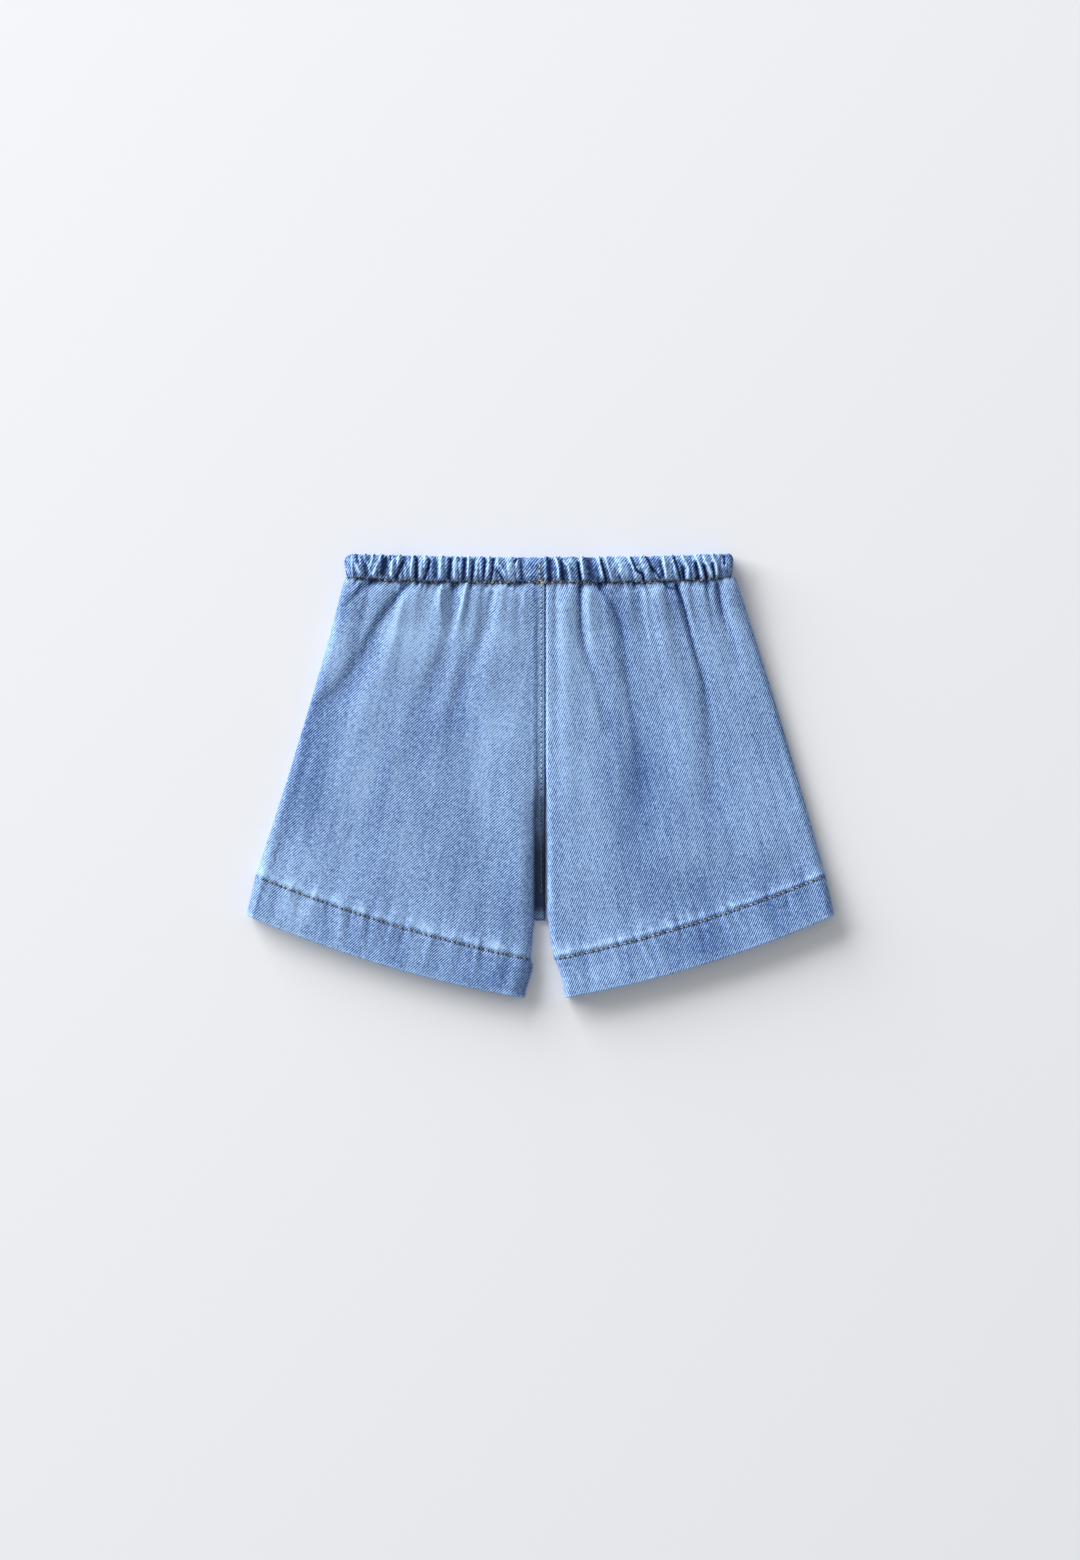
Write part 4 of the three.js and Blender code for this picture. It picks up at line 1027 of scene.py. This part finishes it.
def makeStitches(name, lines):
    # A line has its path (mm), up (+1 front, -1 back), its alternating tints, and what differs from thread
    chance = np.random.default_rng(17)
    points, faces, colours = [], [], []
    sides, steps = thread["sides"], thread["steps"]
    circle = [(math.cos(2 * math.pi * m / sides), math.sin(2 * math.pi * m / sides)) for m in range(sides)]

    def ring(middle, first, second, colour):
        for c, d in circle:
            points.append(middle + first * c + second * d)
            colours.append((*colour, 1.0))

    for line in lines:
        spec = {**thread, "slant": 0.0, **line}
        fine = resample(line["path"], spec["pitch"] / steps)
        up = np.array([0, 0, 1.0]) * line["up"]
        for k in range(0, len(fine) - steps, steps):
            along = fine[k:k + steps - 1]
            ahead = along[-1] - along[0]
            size = np.linalg.norm(ahead)
            if size < 0.5:
                continue
            ahead = ahead / size
            across = np.cross(up, ahead)
            across /= np.linalg.norm(across)
            colour = np.array(tint[line["tints"][(k // steps) % len(line["tints"])]])
            colour = colour * chance.uniform(*thread["tintVary"])
            radius = spec["radius"] * chance.uniform(*thread["radiusVary"])
            sway = across * chance.uniform(-thread["sway"], thread["sway"])
            base = len(points)
            for n, p in enumerate(along):
                t = n / (len(along) - 1)
                r = radius * mix(thread["tip"], 1, math.sin(math.pi * min(max(t, 0.06), 0.94)) ** 0.5)
                high = spec["lift"] + thread["bow"] * math.sin(math.pi * t) * radius + thread["sunk"]
                ring(p + up * high + sway + across * spec["slant"] * (t - 0.5), across * r, up * r, colour)
            for n in range(len(along) - 1):
                for m in range(sides):
                    a, b = base + n * sides + m, base + n * sides + (m + 1) % sides
                    faces.append((a, b, b + sides, a + sides))
            last = base + (len(along) - 1) * sides
            for start, order in ((base, -1), (last, 1)):
                end = [start + m for m in range(sides)][::order]
                for m in range(1, sides - 2, 2):
                    faces.append((end[0], end[m], end[m + 1], end[m + 2]))
            # the needle's hole behind each stitch, painted near-black as shade
            hole = 0.5 * (fine[k + steps - 2] + fine[k + steps]) + up * (spec["lift"] + 0.03)
            long, wide = spec["hole"]
            base = len(points)
            ring(hole, ahead * long, across * wide, tint["pit"])
            points.append(hole - up * thread["holeDeep"])
            colours.append((*tint["pit"], 1.0))
            faces.append((base, base + 1, base + 2, base + 3))
            faces.append((base, base + 3, base + 4, base + 5))
            for m in range(0, sides, 2):
                faces.append((base + sides, base + (m + 2) % sides, base + m + 1, base + m))
    return makeMesh(name, np.array(points), np.array(faces), None, {"threadColour": np.array(colours)})


# Materials
denim = {
    "deep": (0.020, 0.054, 0.175),
    "mid": (0.186, 0.340, 0.70),
    "pale": (0.465, 0.67, 0.95),
    "shaded": (0.006, 0.013, 0.042),
    "twillPitch": 1.27,
    "twillTurn": 53.5,
    "wearAndShadingGain": 0.42,
    "twillGain": 1.15,
    "heatherGain": 0.98,
    "mottleGain": 0.28,
    "slubGain": 0.35,
    "roughness": 0.92,
    "bump": 0.22,
    "ribBreaks": 0.9,
    # noises of the yarn: scale along the weft and along the warp, then in all, and detail
    "warpFleck": (1.0, 0.4, 860, 2.0),
    "weftFleck": (0.5, 1.0, 740, 1.0),
    "mottle": (1.0, 0.7, 190, 3.0),
    "slub": (1.0, 0.06, 420, 2.0),
    "noiseRoughness": 0.6,
}


class Wiring:
    # short helper for a new material and for joining its nodes
    def __init__(self, name):
        self.material = bpy.data.materials.new(name)
        self.material.use_nodes = True
        self.tree = self.material.node_tree
        self.tree.nodes.clear()

    def add(self, kind, settings=None, **inputs):
        node = self.tree.nodes.new("ShaderNode" + kind)
        for key, value in (settings or {}).items():
            setattr(node, key, value)
        for key, value in inputs.items():
            self.feed(node, key.replace("_", " "), value)
        return node

    def feed(self, node, socket, value):
        target = node.inputs[int(socket)] if socket.isdigit() else node.inputs[socket]
        if isinstance(value, bpy.types.NodeSocket):
            self.tree.links.new(value, target)
        else:
            target.default_value = value

    def math(self, operation, a, b=0.0, c=0.0):
        node = self.add("Math", {"operation": operation})
        for i, value in enumerate((a, b, c)):
            self.feed(node, str(i), value)
        return node.outputs[0]

    def field(self, name, output="Fac"):
        return self.add("Attribute", {"attribute_name": name}).outputs[output]

    def finish(self, **inputs):
        shader = self.add("BsdfPrincipled", None, **inputs)
        self.add("OutputMaterial", None, Surface=shader.outputs[0])
        return self.material


def makeDenim():
    w = Wiring("washed_denim")
    grain = w.add("UVMap", {"uv_map": "grain"}).outputs["UV"]
    wear, shade, weave = (w.field(name) for name in ("wear", "shade", "weave"))

    def stretched(turn, scaleX, scaleY):
        return w.add("Mapping", {"vector_type": "POINT"}, Vector=grain, Rotation=(0, 0, math.radians(turn)),
                     Scale=(scaleX, scaleY, 1)).outputs[0]

    def noise(name):
        scaleX, scaleY, scale, detail = denim[name]
        node = w.add("TexNoise", {"noise_dimensions": "2D"}, Vector=stretched(0, scaleX, scaleY),
                     Scale=scale, Detail=detail, Roughness=denim["noiseRoughness"])
        return w.math("SUBTRACT", node.outputs["Fac"], 0.5)

    # twill ribs, broken up by the yarns that cross them
    rib = w.add("TexWave", {"wave_type": "BANDS", "bands_direction": "X", "wave_profile": "SIN"},
                Vector=stretched(90 - denim["twillTurn"], 1, 1), Detail=2.0, Detail_Scale=1.1,
                Scale=math.pi / 10 / (denim["twillPitch"] * 0.001), Distortion=denim["ribBreaks"])
    ribs = w.math("SUBTRACT", rib.outputs["Fac"], 0.5)
    fleck = w.math("MULTIPLY_ADD", noise("weftFleck"), 0.7, noise("warpFleck"))
    # the wear attribute holds painted highlight and painted shade as well as wear
    tone = w.math("MULTIPLY_ADD", wear, denim["wearAndShadingGain"], 0.5)
    tone = w.math("MULTIPLY_ADD", ribs, w.math("MULTIPLY", weave, denim["twillGain"]), tone)
    for part, gain in ((fleck, "heatherGain"), (noise("mottle"), "mottleGain"), (noise("slub"), "slubGain")):
        tone = w.math("MULTIPLY_ADD", part, denim[gain], tone)
    ramp = w.add("ValToRGB", None, Fac=tone)
    ramp.color_ramp.elements.new(0.5)
    for stop, (place, name) in zip(ramp.color_ramp.elements, ((0.0, "deep"), (0.5, "mid"), (1.0, "pale"))):
        stop.position = place
        stop.color = (*denim[name], 1)
    cloth = w.add("Mix", {"data_type": "RGBA"})
    for socket, value in (("0", shade), ("6", ramp.outputs["Color"]), ("7", (*denim["shaded"], 1))):
        w.feed(cloth, socket, value)
    height = w.math("MULTIPLY_ADD", fleck, 0.9, ribs)
    bump = w.add("Bump", None, Height=height, Strength=denim["bump"], Distance=0.0004)
    return w.finish(Normal=bump.outputs[0], Roughness=denim["roughness"], Base_Color=cloth.outputs[2],
                    Specular_IOR_Level=0.25, Sheen_Weight=0.08, Sheen_Roughness=0.5)


def makeThreadMaterial():
    w = Wiring("sewing_thread")
    place = w.add("TexCoord").outputs["Object"]
    twist = w.add("TexNoise", None, Vector=place, Scale=2500.0, Detail=1.0).outputs["Fac"]
    lighter = w.add("HueSaturation", None, Color=w.field("threadColour", "Color"),
                    Value=w.math("MULTIPLY_ADD", twist, 0.6, 0.7))
    bump = w.add("Bump", None, Height=twist, Strength=0.3, Distance=0.0002)
    return w.finish(Normal=bump.outputs[0], Roughness=0.55, Base_Color=lighter.outputs[0])


# Ground, light and camera
studio = {
    "floorColour": (0.85, 0.86, 0.885),
    "ambient": 0.42,
    "ambientColour": (0.97, 0.985, 1.0),
    "keyPower": 2060.0,
    "keySize": (9.0, 4.8),
    "keyPlace": (-6.6, 5.65, 2.4),
    "keyTarget": (0.0, -0.02, 0.0),
    "cameraHeight": 2.0,
    "cameraAt": (-0.0003, -0.0025),
    "lens": 74.2,
    "floorHalf": 9.0,
    "floorZ": -0.0002,  # a little under the cloth, so that the two don't coincide
}


def makeStudio():
    scene = bpy.context.scene
    scene.view_settings.view_transform = "Standard"
    camera = bpy.data.objects.new("photo_camera", bpy.data.cameras.new("photo_camera"))
    camera.data.lens = studio["lens"]
    camera.data.sensor_width = 36.0
    camera.data.clip_end = 50.0
    camera.location = (*studio["cameraAt"], studio["cameraHeight"])
    scene.collection.objects.link(camera)
    scene.camera = camera
    lamp = bpy.data.lights.new("key", "AREA")
    lamp.shape = "RECTANGLE"
    lamp.size, lamp.size_y = studio["keySize"]
    lamp.energy = studio["keyPower"]
    key = bpy.data.objects.new("key", lamp)
    key.location = studio["keyPlace"]
    toward = Vector(studio["keyTarget"]) - key.location
    key.visible_camera = False
    key.rotation_euler = toward.to_track_quat("-Z", "Y").to_euler()
    scene.collection.objects.link(key)
    world = bpy.data.worlds.new("studio")
    world.use_nodes = True
    back = world.node_tree.nodes["Background"]
    back.inputs["Color"].default_value = (*studio["ambientColour"], 1)
    back.inputs["Strength"].default_value = studio["ambient"]
    scene.world = world
    half, z = studio["floorHalf"], studio["floorZ"]
    floor = bpy.data.meshes.new("ground")
    corners = [(-half, -half, z), (half, -half, z), (half, half, z), (-half, half, z)]
    floor.from_pydata(corners, [], [(0, 1, 2, 3)])
    ground = bpy.data.objects.new("ground", floor)
    scene.collection.objects.link(ground)
    floor.materials.append(Wiring("pale_ground").finish(
        Roughness=0.95, Base_Color=(*studio["floorColour"], 1), Specular_IOR_Level=0.1))


def finishPiece(piece, material, nodes=()):
    piece.data.materials.append(material)
    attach(piece, "root")
    if nodes:
        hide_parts(*nodes)


makeStudio()
print("studio set")

denimMaterial = makeDenim()
threadMaterial = makeThreadMaterial()
legs, casings = {}, {}
allFolds = [{**fold, "height": tuple(foldGain * h for h in fold["height"])} for fold in frontFolds]
allFolds += makePuckers() + makeHemRopes()
for c in creases:
    allFolds.append({"path": c["path"], "width": [(c["wide"], 2 * c["wide"])] * 2,
                     "height": (c["deep"], creaseFade * c["deep"])})
for side in ("left", "right"):
    for layer in ("front", "back"):
        isFront = layer == "front"
        piece, points, v = makeLeg(side, isFront, allFolds if isFront else [])
        finishPiece(piece, denimMaterial, (f"{layer}_panel_{side}", f"{layer}_hem_{side}"))
        wall = piece.modifiers.new("wall", "SOLIDIFY")
        wall.thickness = lie["cloth"] * 0.001
        wall.offset = -1.0
        legs[side, layer] = (piece, points, v)
print("legs made")

for layer, pleats in (("front", frontPleats), ("back", makeBackPleats())):
    casings[layer] = makeCasing(layer == "front", pleats)
    finishPiece(casings[layer][0], denimMaterial, (f"waistband_{layer}",))
print("casing gathered")


def rowPath(side, layer, at, trim):
    # a line of points along a leg's row
    _, points, v = legs[side, layer]
    path = points[int(np.argmin(np.abs(v - at)))]
    path = path[path[:, 0] < 0] if side == "left" else path[path[:, 0] > 5]
    return path[trim:-trim]


def downPath(side, layer, x, fromY, toY):
    # a line of points down a leg at one x, without the rows of the hem's fold
    path = []
    for row in legs[side, layer][1][:-20]:
        order = np.argsort(row[:, 0])
        y, z = (np.interp(x, row[order, 0], row[order, k]) for k in (1, 2))
        if toY <= y <= fromY:
            path.append((x, y, z))
    return np.array(path)


lines = []
for side in ("left", "right"):
    for layer, up in (("front", 1), ("back", -1)):
        lines.append({"path": rowPath(side, layer, 1.0, 10), "up": up, "lift": 0.1 * max(up, 0),
                      "radius": 0.38, "pitch": 3.1, "slant": -0.75, "hole": (0.85, 0.8),
                      "tints": ("grey", "khaki", "grey")})
hemStitches = makeStitches("hem_stitches", lines)
# the centre seam's stitches, gold near the waist and in shadow between the legs
seam = {"x": 0.6, "from": 119.5, "to": -74, "goldTo": 88, "litTo": -12, "pitch": 3.2, "casingX": -0.5}
seamLine = downPath("left", "front", seam["x"], seam["from"], seam["to"])
inGold, inLight = seamLine[:, 1] > seam["goldTo"], seamLine[:, 1] > seam["litTo"]
frontCasing = casings["front"][1]
column = int(np.argmin(np.abs(frontCasing[:, 20, 0] - seam["casingX"])))
casingSeam = frontCasing[column, 6:34]
casingSeam[:, 0] = seam["casingX"]
knot = np.array([(-1.2, 121.2, 0), (4.2, 120.6, 0), (0.2, 119.9, 0), (3.6, 121.4, 0)]) + (0, -0.3, 9.6)
seamStitches = makeStitches("centre_seam_stitches", [
    {"path": seamLine[inGold], "up": 1, "tints": ("gold", "pale"), "pitch": seam["pitch"]},
    {"path": seamLine[~inGold & inLight], "up": 1, "tints": ("pale", "pale", "grey"),
     "pitch": seam["pitch"]},
    {"path": seamLine[~inLight], "up": 1, "tints": ("inShadow",), "pitch": seam["pitch"]},
    {"path": casingSeam, "up": 1, "tints": ("gold",), "radius": 0.34, "lift": 0.15},
    {"path": knot, "up": 1, "tints": ("gold",), "radius": 0.36, "lift": 0.1},
])
# Stretches of the waist's stitch line where the gold shows, or else is sunk in the gathers and painted
# darker as shade: each one's start
isGoldFrom = {-122: False, -97: True, -88: False, -45: True, -17: False, -8: True, 29: False, 62: True,
              70: False, 94: True, 108: False}
waistEnd = 122
starts = list(isGoldFrom)
waistLines = []
for layer, up in (("front", 1), ("back", -1)):
    groove = casings[layer][1][14:-14, 1] + (0, -0.1, 0.25 * max(up, 0))
    for fromX, toX in zip(starts, starts[1:] + [waistEnd]):
        stretch = groove[(groove[:, 0] >= fromX) & (groove[:, 0] < toX)]
        tints = ("gold", "goldInShade") if isGoldFrom[fromX] else ("sunk", "pit", "goldInShade")
        if len(stretch) >= 3:
            waistLines.append({"path": stretch, "up": up, "pitch": 2.5, "radius": 0.32,
                               "lift": 0.12 * max(up, 0), "tints": tints})
waistStitches = makeStitches("waist_stitches", waistLines)
for piece in (hemStitches, seamStitches, waistStitches):
    finishPiece(piece, threadMaterial)
print("sewn")
